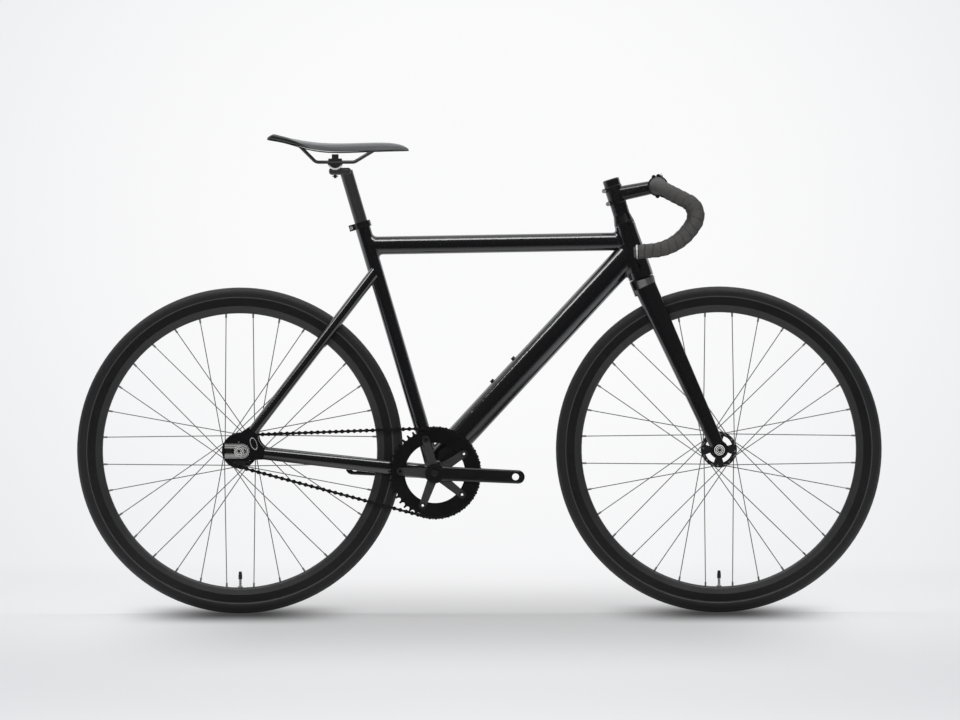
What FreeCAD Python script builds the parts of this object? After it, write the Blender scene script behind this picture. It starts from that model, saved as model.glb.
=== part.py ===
import FreeCAD, Part
import math
import os

# A fixed gear track bicycle, in millimetres and degrees.
# +X is forward, +Y is the left side, +Z is up; the origin is on the ground midway between the axles.
# The chain runs on the right side, at negative Y.

Vec = FreeCAD.Vector
across = Vec(0, 1, 0)
upward = Vec(0, 0, 1)

# Layout of the frame
wheelbase = 996.0
bottom_bracket_drop = 46.6
seat_angle = 73.7
seat_tube_length = 543.0
head_angle = 72.8
fork_length = 385.0
fork_rake = 47.7
head_tube_length = 115.0
top_tube_seat_drop = 51.5
top_tube_head_drop = 35.8
down_tube_shell_rise = 17.0
down_tube_head_rise = 59.2

# Tube sections
seat_tube_diameter = 31.8
top_tube_height = 38.0
top_tube_width = 31.0
down_tube_height = 57.0
down_tube_width = 46.0
tube_wall = 1.5
head_tube_top_diameter = 44.0
head_tube_base_diameter = 53.0
head_tube_collar = 13.0
head_tube_bore = 36.0
shell_diameter = 44.0
shell_width = 68.0
shell_bore = 34.8
chainstay_rear_height = 24.0
chainstay_rear_width = 18.0
chainstay_front_height = 30.0
chainstay_front_width = 16.0
chainstay_front_offset = 15.5
chainstay_setback = 52.0
seatstay_top_diameter = 23.4
seatstay_base_diameter = 22.0
seatstay_top_offset = 12.0
seatstay_top_drop = 106.6
seatstay_foot_forward = 28.0
seatstay_foot_rise = 41.0
stay_plug = 14.0

# Track ends
dropout_thickness = 7.0
dropout_plate_thickness = 1.6
dropout_plate_length = 51.0
dropout_plate_height = 30.0
dropout_rear_reach = 30.0
dropout_edge = 4.0
dropout_tenon = 8.0
slot_front_reach = 9.0
window_hollow = 9.0

# Wheels
tyre_height = 23.0
tyre_width = 28.0
tyre_wall = 2.4
inner_tube_wall = 0.9
rim_radius = 316.0
rim_width = 22.0
rim_depth = 31.0
rim_wall = 2.0
rim_well = 9.0
brake_track = 15.5
rim_nose_width = 14.0
rim_nose_rise = 5.0
spoke_count = 32
spoke_crossings = 3
spoke_diameter = 2.0
spoke_circle = 66.0
spoke_bend = 1.6
spoke_head_diameter = 3.8
spoke_head_height = 1.0
nipple_diameter = 4.0
nipple_length = 12.0
nipple_head_diameter = 5.4
nipple_head_height = 2.0
valve_angle = -90.0
valve_diameter = 6.0
valve_stem_length = 17.0
valve_cap_diameter = 8.0
valve_cap_length = 16.0
valve_nut_diameter = 11.0
valve_nut_height = 2.5

# Hubs
front_locknut_width = 100.0
rear_locknut_width = 120.0
axle_diameter = 10.0
axle_bore = 6.0
axle_thread_reach = 20.0
locknut_diameter = 18.0
front_flange_spacing = 66.0
rear_flange_spacing = 60.0
flange_diameter = 74.0
flange_thickness = 3.2
hub_waist_diameter = 30.0
hub_nose_diameter = 33.0
hub_bore = 16.0
front_hub_width = 88.0
rear_hub_width = 93.0
bearing_diameter = 26.0
bearing_width = 8.0
window_count = 4
window_inner_radius = 19.0
window_outer_radius = 29.5
window_span = 52.0
front_bolt_flange_diameter = 22.0
rear_bolt_flange_diameter = 20.5
bolt_flange_height = 2.5
axle_bolt_head_diameter = 15.0
axle_bolt_head_height = 6.0
axle_bolt_hex = 6.0

# Chain and sprockets
chain_pitch = 12.7
ring_teeth = 46
cog_teeth = 16
run_links = 32
chain_line = 42.0
roller_diameter = 7.75
inner_link_width = 3.3
chain_plate_thickness = 1.1
chain_plate_height = 8.4
chain_plate_waist = 4.2
chain_side_gap = 0.15
chain_pin_diameter = 3.6
chain_pin_overhang = 0.6
sprocket_thickness = 2.9
tooth_rise = 3.6
tooth_tip_width = 3.2
tooth_seat_span = 78.0
seat_clearance = 0.1
ring_inner_diameter = 125.0
cog_seat_diameter = 34.8
cog_boss_diameter = 45.0
cog_boss_width = 3.5
lockring_seat_diameter = 32.7
lockring_diameter = 42.0
lockring_width = 3.0
lockring_notches = 4
lockring_notch_width = 6.0
lockring_notch_depth = 2.5

# Cranks
crank_length = 167.5
crank_angle = -2.7
crank_end_overhang = 19.0
crank_boss_diameter = 40.0
crank_boss_face = 68.0
crank_boss_depth = 24.0
crank_root_height = 30.0
crank_tip_height = 28.0
crank_root_thickness = 15.0
crank_tip_thickness = 13.0
crank_flare = 3.0
crank_corner_share = 0.33
pedal_thread_diameter = 14.28
bolt_circle = 144.0
ring_bolt_count = 5
ring_bolt_diameter = 10.0
ring_bolt_head_diameter = 13.0
ring_bolt_head_height = 1.4
ring_bolt_hole_diameter = 5.2
spider_thickness = 5.5
spider_root_width = 21.0
spider_tip_width = 15.0
spindle_diameter = 17.0
spindle_square = 12.7
spindle_square_length = 17.0
bracket_bearing_width = 14.0
crank_bolt_head_diameter = 16.0
crank_bolt_head_height = 6.0
crank_bolt_diameter = 8.0
crank_bolt_length = 22.0
crank_recess_diameter = 20.0
crank_recess_depth = 6.0
crank_bolt_hex = 8.0

# Steering
steerer_diameter = 28.6
steerer_base_diameter = 32.0
steerer_base_length = 30.0
steerer_wall = 3.0
steerer_taper_length = 20.0
crown_socket = 22.0
steerer_plug_depth = 8.0
steerer_plug_drop = 20.0
upper_bearing_diameter = 41.0
lower_bearing_diameter = 47.0
headset_bearing_height = 7.0
crown_race_height = 3.7
crown_seal_height = 3.1
crown_seal_inset = 0.8
headset_gap = 0.3
top_cover_height = 21.0
top_cover_diameter = 43.0
top_cover_lip_share = 0.2
spacer_diameter = 35.0
spacer_heights = (10.0, 10.0, 6.0)
ring_edge = 0.7
crown_depth = 30.0
crown_length = 48.0
crown_width = 88.0
crown_corner = 20.0
blade_top_spread = 33.0
blade_tip_spread = 53.5
blade_top_length = 46.0
blade_top_width = 22.0
blade_mid_length = 38.0
blade_mid_width = 20.0
blade_mid_share = 0.5
blade_tip_length = 29.0
blade_tip_width = 15.0
blade_end_rise = 12.5
blade_wall = 2.5
fork_tip_thickness = 7.0
fork_tip_radius = 14.0
fork_slot_width = 9.0
fork_web_share = 0.9

# Stem and bars
stem_reach = 90.0
stem_drop_angle = 6.0
stem_clamp_height = 37.0
stem_clamp_diameter = 37.0
stem_root_height = 32.0
stem_root_width = 30.0
stem_tip_height = 28.0
stem_tip_width = 34.0
stem_corner_share = 0.45
bar_clamp_diameter = 43.0
bar_clamp_width = 42.0
faceplate_gap = 1.5
clamp_ear_height = 24.5
clamp_ear_depth = 9.0
clamp_ear_corner = 2.5
faceplate_bolt_rise = 20.0
faceplate_bolt_spread = 28.0
pinch_bolt_setback = 20.5
pinch_bolt_spacing = 28.0
pinch_ear_width = 24.0
pinch_ear_height = 9.0
pinch_slit = 2.0
stem_bolt_diameter = 5.0
stem_bolt_head_diameter = 8.5
stem_bolt_head_height = 5.0
stem_bolt_hex = 4.0
top_spacer_height = 5.5
top_cap_height = 10.0
top_cap_corner = 2.0
preload_gap = 3.0
top_cap_bolt_length = 28.0
bar_diameter = 31.8
grip_bar_diameter = 23.8
bar_wall = 2.0
bar_bulge_width = 70.0
bar_taper_end = 62.0
bar_half_width = 190.0
bar_sweep_start = 88.0
bar_sweep_forward = 23.0
bar_sweep_inset = 30.0
bar_ramp_forward = 94.5
bar_ramp_drop = 48.7
bar_hook_forward = 38.8
bar_hook_drop = 130.3
bar_end_back = 43.9
bar_end_drop = 136.1
bar_bends = (120.0, 80.0, 35.0, 105.0)
tape_thickness = 3.1
tape_start = 27.0
bar_plug_diameter = 29.5
bar_plug_height = 4.0
bar_plug_insert = 15.0

# Seat
seatpost_diameter = 27.2
seatpost_wall = 2.5
seatpost_insertion = 150.0
seatpost_clamp_rise = 134.5
seatpost_setback = 16.5
post_head_depth = 15.0
post_head_width = 32.0
post_head_rear = 13.0
post_head_front = 33.0
post_head_corner = 6.0
tilt_radius = 16.0
head_below_axis = 11.5
jaw_length = 28.0
jaw_width = 54.0
lower_jaw_depth = 6.5
upper_jaw_height = 7.5
jaw_split = 0.6
cradle_width = 28.0
clamp_bolt_diameter = 6.0
clamp_bolt_overhang = 3.0
clamp_washer_diameter = 12.0
clamp_washer_height = 2.5
clamp_washer_gap = 1.3
clamp_tilt = 8.0
clamp_nut_length = 14.0
clamp_nut_width = 20.0
clamp_nut_height = 9.0
rail_diameter = 7.0
rail_spread = 22.0
rail_rear_spread = 34.0
rail_front_spread = 12.0
rail_bend = 14.0
rail_straight = 80.0
rail_rear_run = 32.0
rail_rear_rise = 32.0
rail_front_run = 45.0
rail_front_rise = 27.0
saddle_base_thickness = 2.5
saddle_base_share = 0.72
saddle_skirt_share = 0.78
saddle_crown_share = 0.86
saddle_shoulder_share = 0.24
saddle_swell_share = 0.42
# Each station of the saddle: forward of the clamp, top, bottom edge and half width.
saddle_stations = ((-141.0, 51.5, 46.5, 46.0), (-128.0, 57.5, 44.0, 58.0), (-100.0, 51.8, 38.0, 67.0),
                   (-66.0, 44.6, 28.0, 64.0), (-30.0, 40.0, 20.9, 47.0), (10.0, 38.8, 18.8, 32.0),
                   (60.0, 40.3, 20.2, 24.0), (110.0, 41.4, 21.8, 20.5), (140.0, 36.5, 22.4, 16.0),
                   (153.0, 27.5, 22.8, 8.0))
collar_height = 13.0
collar_wall = 3.2
collar_ear_length = 8.5
collar_ear_width = 7.0
collar_slit = 2.0
collar_bolt_diameter = 5.0
collar_bolt_head_diameter = 8.0
collar_bolt_head_height = 5.0

# Bottle bosses on the down tube
boss_start = 208.0
boss_spacing = 64.0
boss_diameter = 10.0
boss_height = 1.2
boss_depth = 7.0
boss_thread_diameter = 5.0
bottle_bolt_head_diameter = 9.0
bottle_bolt_head_height = 3.5
bottle_bolt_length = 9.0

# Fits
running_gap = 0.05
contact_gap = 0.02
hole_gap = 0.2
end_gap = 0.3
socket_floor_share = 0.4
largest_corner_share = 0.98


# Plain shapes
def direction(angle):
    turn = math.radians(angle)
    return Vec(math.cos(turn), 0, math.sin(turn))


def polar(radius, angle, y=0.0):
    return direction(angle) * radius + across * y


def rod(start, end, radius):
    axis = end - start
    return Part.makeCylinder(radius, axis.Length, start, axis)


def disc(centre, radius, y_from, y_to):
    base = Vec(centre.x, min(y_from, y_to), centre.z)
    return Part.makeCylinder(radius, abs(y_to - y_from), base, across)


def ring(centre, outer, inner, y_from, y_to):
    return disc(centre, outer, y_from, y_to).cut(disc(centre, inner, y_from, y_to))


def block(x_from, x_to, y_from, y_to, z_from, z_to):
    return Part.makeBox(x_to - x_from, y_to - y_from, z_to - z_from, Vec(x_from, y_from, z_from))


def outline(points):
    return Part.Face(Part.makePolygon(points + points[:1]))


def plate(points, y_from, y_to):
    corners = [Vec(x, y_from, z) for x, z in points]
    return outline(corners).extrude(across * (y_to - y_from))


def turned_across(points):
    # Each point is a radius and a place along Y.
    corners = [Vec(radius, along, 0) for radius, along in points]
    return outline(corners).revolve(Vec(), across, 360)


def turned_upright(points):
    # Each point is a radius and a height.
    corners = [Vec(radius, 0, height) for radius, height in points]
    return outline(corners).revolve(Vec(), upward, 360)


def hex_prism(flats, height):
    corners = [Vec(flats / math.sqrt(3), 0, 0)]
    for step in range(1, 6):
        corners.append(FreeCAD.Rotation(upward, 60 * step).multVec(corners[0]))
    return outline(corners).extrude(upward * height)


def socket_screw(diameter, length, head_diameter, head_height, hex_flats):
    # The head stands above the origin and the shank hangs below it.
    head = Part.makeCylinder(head_diameter / 2, head_height)
    shank = Part.makeCylinder(diameter / 2, length, Vec(0, 0, -length))
    socket = hex_prism(hex_flats, head_height)
    socket.translate(upward * head_height * socket_floor_share)
    return head.fuse(shank).cut(socket)


def placed(shape, placement):
    moved = shape.copy()
    moved.Placement = placement.multiply(moved.Placement)
    return moved


def aimed(shape, point, axis):
    return placed(shape, FreeCAD.Placement(point, FreeCAD.Rotation(upward, axis)))


def shifted(shape, offset):
    return placed(shape, FreeCAD.Placement(offset, FreeCAD.Rotation()))


def turned(shape, angle):
    # A turn in the side plane, positive from X towards Z.
    return placed(shape, FreeCAD.Placement(Vec(), FreeCAD.Rotation(across, -angle)))


def mirrored(shape):
    return shape.mirror(Vec(), across)


def joined(shapes):
    return shapes[0].multiFuse(shapes[1:]).removeSplitter()


def group(shapes):
    solids = []
    for shape in shapes:
        solids.extend(shape.Solids)
    return Part.makeCompound(solids)


def largest(shape):
    return max(shape.Solids, key=lambda solid: solid.Volume)


def rounded_path(points, radii):
    # Straight runs between the points, with a tangent arc of the given radius at each inner point.
    edges = []
    start = points[0]
    for corner, after, radius in zip(points[1:-1], points[2:], radii):
        back = (start - corner).normalize()
        ahead = (after - corner).normalize()
        half_turn = (math.pi - back.getAngle(ahead)) / 2
        reach = radius * math.tan(half_turn)
        arc_from = corner + back * reach
        arc_to = corner + ahead * reach
        inward = (back + ahead).normalize()
        middle = corner + inward * (radius / math.cos(half_turn) - radius)
        edges.append(Part.LineSegment(start, arc_from).toShape())
        edges.append(Part.Arc(arc_from, middle, arc_to).toShape())
        start = arc_to
    edges.append(Part.LineSegment(start, points[-1]).toShape())
    return Part.Wire(edges)


def swept(path, radius):
    first = path.Edges[0]
    heading = first.tangentAt(first.FirstParameter)
    circle = Part.Circle(first.valueAt(first.FirstParameter), heading, radius)
    return path.makePipeShell([Part.Wire(circle.toShape())], True, False)


def oval(centre, axis, height, width):
    # A closed oval square to an axis in the side plane, its width along Y.
    rise = axis.cross(across).normalize() * (height / 2)
    side = across * (width / 2)
    if height >= width:
        curve = Part.Ellipse(centre + rise, centre + side, centre)
    else:
        curve = Part.Ellipse(centre + side, centre + rise, centre)
    return Part.Wire(curve.toShape())


def oval_bar(start, end, height, width):
    axis = end - start
    return Part.Face(oval(start, axis, height, width)).extrude(axis)


def oval_taper(sections):
    return Part.makeLoft(sections, True, True)


def rounded_rectangle(centre, length, width, corner):
    # A rectangle in a level plane, its length along X, with round corners.
    half_x = length / 2
    half_y = width / 2
    round_by = min(corner, half_x * largest_corner_share, half_y * largest_corner_share)
    edges = []
    for turn in range(4):
        sign_x = (1, -1, -1, 1)[turn]
        sign_y = (1, 1, -1, -1)[turn]
        middle = centre + Vec(sign_x * (half_x - round_by), sign_y * (half_y - round_by), 0)
        from_angle = 90 * turn
        sweep = [Vec(math.cos(math.radians(a)), math.sin(math.radians(a)), 0)
                 for a in (from_angle, from_angle + 45, from_angle + 90)]
        points = [middle + spoke * round_by for spoke in sweep]
        if edges:
            edges.append(Part.LineSegment(edges[-1].lastVertex().Point, points[0]).toShape())
        edges.append(Part.Arc(points[0], points[1], points[2]).toShape())
    edges.append(Part.LineSegment(edges[-1].lastVertex().Point, edges[0].firstVertex().Point).toShape())
    return Part.Wire(edges)


# Points worked out from the layout
def pitch_radius(teeth):
    return chain_pitch / 2 / math.sin(math.pi / teeth)


def nearest_odd(value):
    return 2 * round((value - 1) / 2) + 1


ring_pitch_radius = pitch_radius(ring_teeth)
cog_pitch_radius = pitch_radius(cog_teeth)
run_length = run_links * chain_pitch
run_slope = math.degrees(math.asin((ring_pitch_radius - cog_pitch_radius) / run_length))
ring_wrap = nearest_odd(ring_teeth * (180 + 2 * run_slope) / 360)
cog_wrap = nearest_odd(cog_teeth * (180 - 2 * run_slope) / 360)
ring_end_angle = 180 * ring_wrap / ring_teeth
cog_end_angle = 180 * cog_wrap / cog_teeth
ring_end = direction(ring_end_angle) * ring_pitch_radius
cog_end = direction(180 - cog_end_angle) * cog_pitch_radius
run_forward = math.sqrt(run_length ** 2 - (ring_end.z - cog_end.z) ** 2)
sprocket_distance = run_forward - ring_end.x + cog_end.x

tyre_radius = rim_radius + tyre_height
rear_axle_point = Vec(-wheelbase / 2, 0, tyre_radius)
front_axle_point = Vec(wheelbase / 2, 0, tyre_radius)
bracket_forward = math.sqrt(sprocket_distance ** 2 - bottom_bracket_drop ** 2)
bracket_point = rear_axle_point + Vec(bracket_forward, 0, -bottom_bracket_drop)
stay_line = (bracket_point - rear_axle_point).normalize()
line_angle = math.degrees(math.atan2(stay_line.z, stay_line.x))

seat_axis = direction(180 - seat_angle)
seat_frame = FreeCAD.Placement(bracket_point, FreeCAD.Rotation(across, seat_angle - 90))
seat_top = bracket_point + seat_axis * seat_tube_length
steer_axis = direction(180 - head_angle)
steer_forward = direction(90 - head_angle)
crown_point = front_axle_point + steer_axis * fork_length - steer_forward * fork_rake
steer_frame = FreeCAD.Placement(crown_point, FreeCAD.Rotation(across, head_angle - 90))
head_base = crown_race_height + headset_gap
head_top = head_base + head_tube_length
far = 2 * wheelbase


# Frame tubes
def head_tube_solid():
    base = head_tube_base_diameter / 2
    top = head_tube_top_diameter / 2
    points = [(0, head_base), (base, head_base), (base, head_base + head_tube_collar),
              (top, head_top - head_tube_collar), (top, head_top), (0, head_top)]
    return placed(turned_upright(points), steer_frame)


def head_tube_bores():
    lower = lower_bearing_diameter / 2 + contact_gap
    upper = upper_bearing_diameter / 2 + contact_gap
    bores = [(lower, head_base, headset_bearing_height),
             (head_tube_bore / 2, head_base, head_tube_length),
             (upper, head_top - headset_bearing_height, headset_bearing_height)]
    return [placed(Part.makeCylinder(radius, depth, upward * height), steer_frame)
            for radius, height, depth in bores]


def shell_solid():
    return disc(bracket_point, shell_diameter / 2, -shell_width / 2, shell_width / 2)


def seat_tube_solid():
    return rod(bracket_point, seat_top, seat_tube_diameter / 2)


top_tube_rear = seat_top - seat_axis * top_tube_seat_drop
top_tube_front = crown_point + steer_axis * (head_top - top_tube_head_drop)
down_tube_rear = bracket_point + upward * down_tube_shell_rise
down_tube_front = crown_point + steer_axis * (head_base + down_tube_head_rise)
down_tube_axis = (down_tube_front - down_tube_rear).normalize()
down_tube_normal = down_tube_axis.cross(across)


def oval_tube(start, end, height, width):
    return oval_bar(start, end, height, width).cut(
        oval_bar(start, end, height - 2 * tube_wall, width - 2 * tube_wall))


def main_tubes():
    shell = shell_solid()
    seat = seat_tube_solid()
    head = head_tube_solid()
    top = oval_bar(top_tube_rear, top_tube_front, top_tube_height, top_tube_width)
    post_bore = rod(bracket_point, seat_top + seat_axis, seatpost_diameter / 2 + running_gap)
    behind_seat_axis = placed(block(-far, 0, -far, far, -far, far), seat_frame)
    top_tube = oval_tube(top_tube_rear, top_tube_front, top_tube_height, top_tube_width)
    down_tube = oval_tube(down_tube_rear, down_tube_front, down_tube_height, down_tube_width)
    down_tube = down_tube.cut([shell, seat, head, top, behind_seat_axis])
    down_tube = largest(down_tube)
    bosses = group([boss for boss, bore in bottle_bosses()])
    bores = group([bore for boss, bore in bottle_bosses()])
    shell_hole = disc(bracket_point, shell_bore / 2, -shell_width, shell_width)
    return {
        "head_tube": largest(head.cut(head_tube_bores())),
        "top_tube": largest(top_tube.cut([seat, head])),
        "down_tube": largest(down_tube.fuse(bosses.Solids).cut(bores)),
        "seat_tube": largest(seat.cut([shell, post_bore])),
        "bottom_bracket_shell": shell.cut(shell_hole),
    }


def boss_points():
    first = down_tube_rear + down_tube_axis * boss_start
    return [first, first + down_tube_axis * boss_spacing]


def bottle_bosses():
    # Each threaded boss stands through the upper wall of the down tube.
    top = down_tube_height / 2 + boss_height
    pairs = []
    for point in boss_points():
        foot = point + down_tube_normal * (top - boss_depth)
        face = point + down_tube_normal * top
        boss = rod(foot, face, boss_diameter / 2)
        bore = rod(foot - down_tube_normal, face + down_tube_normal, boss_thread_diameter / 2)
        pairs.append((boss, bore))
    return pairs


def bottle_bolts():
    screw = socket_screw(boss_thread_diameter - 2 * contact_gap, bottle_bolt_length,
                         bottle_bolt_head_diameter, bottle_bolt_head_height, stem_bolt_hex)
    top = down_tube_height / 2 + boss_height
    return group([aimed(screw, point + down_tube_normal * top, down_tube_normal)
                  for point in boss_points()])


# Stays and track ends, drawn on the right and mirrored to the left
dropout_face = rear_locknut_width / 2
dropout_middle = dropout_face + dropout_thickness / 2
seatstay_foot = rear_axle_point + Vec(seatstay_foot_forward, -dropout_middle, seatstay_foot_rise)
seatstay_head = seat_top - seat_axis * seatstay_top_drop - across * seatstay_top_offset
chainstay_foot = rear_axle_point + stay_line * chainstay_setback - across * dropout_middle
chainstay_head = bracket_point - across * chainstay_front_offset


def axle_slot(y_from, y_to):
    radius = axle_diameter / 2 + hole_gap
    end = rear_axle_point + Vec(slot_front_reach, 0, 0)
    rear = rear_axle_point.x - 2 * dropout_rear_reach
    middle = rear_axle_point.z
    run = block(rear, end.x, min(y_from, y_to), max(y_from, y_to), middle - radius, middle + radius)
    return run.fuse(disc(end, radius, y_from, y_to))


def dropout_right():
    half = dropout_plate_height / 2 + dropout_edge
    chain_rise = direction(line_angle + 90)
    chain_root = rear_axle_point + stay_line * (chainstay_setback + dropout_tenon)
    seat_run = (seatstay_head - seatstay_foot)
    seat_run = Vec(seat_run.x, 0, seat_run.z).normalize()
    seat_rise = seat_run.cross(across)
    seat_root = rear_axle_point + Vec(seatstay_foot_forward, 0, seatstay_foot_rise) + seat_run * dropout_tenon
    chain_half = chain_rise * (chainstay_rear_height / 2 - tube_wall)
    seat_half = seat_rise * (seatstay_base_diameter / 2 - tube_wall)
    window_from = chain_root + chain_half
    window_to = seat_root - seat_half
    window_middle = (window_from + window_to) * 0.5
    inward = (rear_axle_point - window_middle).normalize()
    corners = [window_to, seat_root + seat_half,
               rear_axle_point + Vec(-dropout_rear_reach, 0, dropout_plate_height / 2 + tube_wall),
               rear_axle_point + Vec(-dropout_rear_reach, 0, -dropout_plate_height / 2),
               rear_axle_point + Vec(-dropout_rear_reach / 2, 0, -half),
               rear_axle_point + Vec(dropout_rear_reach / 2, 0, -half),
               chain_root - chain_half, window_from]
    edges = [Part.LineSegment(a, b).toShape() for a, b in zip(corners, corners[1:])]
    window = Part.Arc(window_from, window_middle + inward * window_hollow, window_to)
    face = Part.Face(Part.Wire(edges + [window.toShape()]))
    solid = face.extrude(across * dropout_thickness)
    solid.translate(across * -(dropout_face + dropout_thickness))
    return solid.cut(axle_slot(-far, far))


def dropout_plate_right():
    # The bright wear plate has a round front end and lies on the outer face of the track end.
    outer = -(dropout_face + dropout_thickness)
    radius = dropout_plate_height / 2
    rear = rear_axle_point.x - dropout_rear_reach + contact_gap
    front = rear_axle_point + Vec(dropout_plate_length - dropout_rear_reach - radius, 0, 0)
    level = rear_axle_point.z
    body = block(rear, front.x, outer - dropout_plate_thickness, outer, level - radius, level + radius)
    nose = disc(front, radius, outer - dropout_plate_thickness, outer)
    return largest(body.fuse(nose).removeSplitter().cut(axle_slot(-far, far)))


def chainstay_right():
    run = (chainstay_head - chainstay_foot).normalize()
    rear = oval(chainstay_foot, run, chainstay_rear_height, chainstay_rear_width)
    front = oval(chainstay_head, run, chainstay_front_height, chainstay_front_width)
    wall = 2 * tube_wall
    cavity_start = chainstay_foot + run * stay_plug
    cavity_rear = oval(cavity_start, run, chainstay_rear_height - wall, chainstay_rear_width - wall)
    cavity_front = oval(chainstay_head, run, chainstay_front_height - wall, chainstay_front_width - wall)
    stay = oval_taper([rear, front]).cut(oval_taper([cavity_rear, cavity_front]))
    return largest(stay.cut([shell_solid(), seat_tube_solid(), dropout_right()]))


def seatstay_right():
    run = seatstay_head - seatstay_foot
    foot = seatstay_base_diameter / 2
    head = seatstay_top_diameter / 2
    stay = Part.makeCone(foot, head, run.Length, seatstay_foot, run)
    start = seatstay_foot + run * (stay_plug / run.Length)
    length = run.Length - stay_plug
    cavity = Part.makeCone(foot - tube_wall, head - tube_wall, length, start, run)
    ahead_of_seat_axis = placed(block(0, far, -far, far, -far, far), seat_frame)
    return largest(stay.cut([cavity, seat_tube_solid(), dropout_right(), ahead_of_seat_axis]))


# Seat collar
collar_base = seat_tube_length - collar_height + contact_gap


def seat_collar():
    inner = seat_tube_diameter / 2 + contact_gap
    outer = inner + collar_wall
    ear_end = outer + collar_ear_length
    ear_half = collar_ear_width + collar_slit / 2
    band = Part.makeCylinder(outer, collar_height, upward * collar_base)
    ears = block(-ear_end, -inner, -ear_half, ear_half, collar_base, collar_base + collar_height)
    hole = Part.makeCylinder(inner, collar_height, upward * collar_base)
    slit_half = collar_slit / 2
    slit = block(-ear_end, 0, -slit_half, slit_half, collar_base, collar_base + collar_height)
    bolt_hole = rod(collar_bolt_point() - across * far, collar_bolt_point() + across * far,
                    collar_bolt_diameter / 2 + hole_gap)
    return placed(band.fuse(ears).cut([hole, slit, bolt_hole]).removeSplitter(), seat_frame)


def collar_bolt_point():
    outer = seat_tube_diameter / 2 + collar_wall
    return Vec(-outer - collar_ear_length / 2, 0, collar_base + collar_height / 2)


def seat_collar_bolt():
    ear_half = collar_ear_width + collar_slit / 2
    screw = socket_screw(collar_bolt_diameter, 2 * ear_half, collar_bolt_head_diameter,
                         collar_bolt_head_height, stem_bolt_hex)
    seated = aimed(screw, collar_bolt_point() - across * ear_half, across * -1)
    return placed(seated, seat_frame)


# Wheels, drawn about the origin with the axle along Y
spoke_step = 360 / spoke_count
tyre_section = tyre_width / 2
tyre_centre = tyre_radius - tyre_section
rim_bed = rim_radius - rim_well
rim_nose = rim_radius - rim_depth
rim_half = rim_width / 2
channel_half = rim_half - rim_wall


def line_edges(points):
    return [Part.LineSegment(a, b).toShape() for a, b in zip(points, points[1:])]


def mirrored_ring(flank, outer_middle, inner_middle):
    # A closed section made of a flank, its mirror image and the two curves that join them.
    other = [Vec(point.x, -point.y, 0) for point in reversed(flank)]
    edges = line_edges(flank)
    edges.append(Part.Arc(flank[-1], outer_middle, other[0]).toShape())
    edges.extend(line_edges(other))
    if inner_middle:
        edges.append(Part.Arc(other[-1], inner_middle, flank[0]).toShape())
    else:
        edges.append(Part.LineSegment(other[-1], flank[0]).toShape())
    return Part.Face(Part.Wire(edges)).revolve(Vec(), across, 360)


def tyre():
    seat = rim_radius + contact_gap
    bead_outside = channel_half - contact_gap
    bead_inside = bead_outside - tyre_wall
    bead_base = rim_bed + contact_gap
    shoulder = math.sqrt(tyre_section ** 2 - (tyre_centre - seat) ** 2)
    inner_section = tyre_section - tyre_wall
    inner_seat = tyre_centre - math.sqrt(inner_section ** 2 - bead_inside ** 2)
    flank = [Vec(inner_seat, bead_inside, 0), Vec(bead_base, bead_inside, 0),
             Vec(bead_base, bead_outside, 0), Vec(seat, bead_outside, 0), Vec(seat, shoulder, 0)]
    return mirrored_ring(flank, Vec(tyre_radius, 0, 0), Vec(tyre_radius - tyre_wall, 0, 0))


def spoke_lines(flange_spacing):
    # The hub end, the rim end and the way the bent head points, for every spoke.
    # The spokes beside the valve run parallel, which leaves room for a pump.
    lines = []
    lift = flange_thickness / 2 + spoke_bend
    for index in range(spoke_count):
        side = 1 if index % 2 == 0 else -1
        lead = -1 if index // 2 % 2 == 0 else 1
        rim_angle = valve_angle + (index + 0.5) * spoke_step
        hub_angle = rim_angle - lead * spoke_crossings * 2 * spoke_step
        hub_point = polar(spoke_circle / 2, hub_angle, side * (flange_spacing / 2 + lead * lift))
        lines.append((hub_point, polar(rim_nose + rim_wall, rim_angle), -side * lead))
    return lines


def rim(flange_spacing):
    flank = [Vec(rim_bed, channel_half, 0), Vec(rim_radius, channel_half, 0),
             Vec(rim_radius, rim_half, 0), Vec(rim_radius - brake_track, rim_half, 0),
             Vec(rim_nose + rim_nose_rise, rim_nose_width / 2, 0)]
    hollow = [Vec(rim_bed - rim_wall, channel_half, 0), Vec(rim_radius - brake_track, channel_half, 0),
              Vec(rim_nose + rim_nose_rise, rim_nose_width / 2 - rim_wall, 0)]
    section = mirrored_ring(flank, Vec(rim_nose, 0, 0), None)
    cavity = mirrored_ring(hollow, Vec(rim_nose + rim_wall, 0, 0), None)
    cutters = [cavity]
    for hub_point, rim_point, head_way in spoke_lines(flange_spacing):
        run = (rim_point - hub_point).normalize()
        inner = rim_point - run * nipple_length
        outer = rim_point + run * rim_depth
        cutters.append(rod(inner, rim_point, nipple_diameter / 2 + hole_gap))
        cutters.append(rod(rim_point, outer, nipple_head_diameter / 2 + hole_gap))
    valve_way = direction(valve_angle)
    cutters.append(rod(Vec(), valve_way * rim_radius, valve_diameter / 2 + hole_gap))
    return largest(section.cut(cutters))


def nipple():
    body_length = nipple_length - nipple_head_height
    body = Part.makeCylinder(nipple_diameter / 2, body_length, Vec(0, 0, -body_length))
    head = Part.makeCylinder(nipple_head_diameter / 2, nipple_head_height)
    bore = Part.makeCylinder(spoke_diameter / 2 + contact_gap, body_length, Vec(0, 0, -body_length))
    return body.fuse(head).cut(bore)


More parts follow.
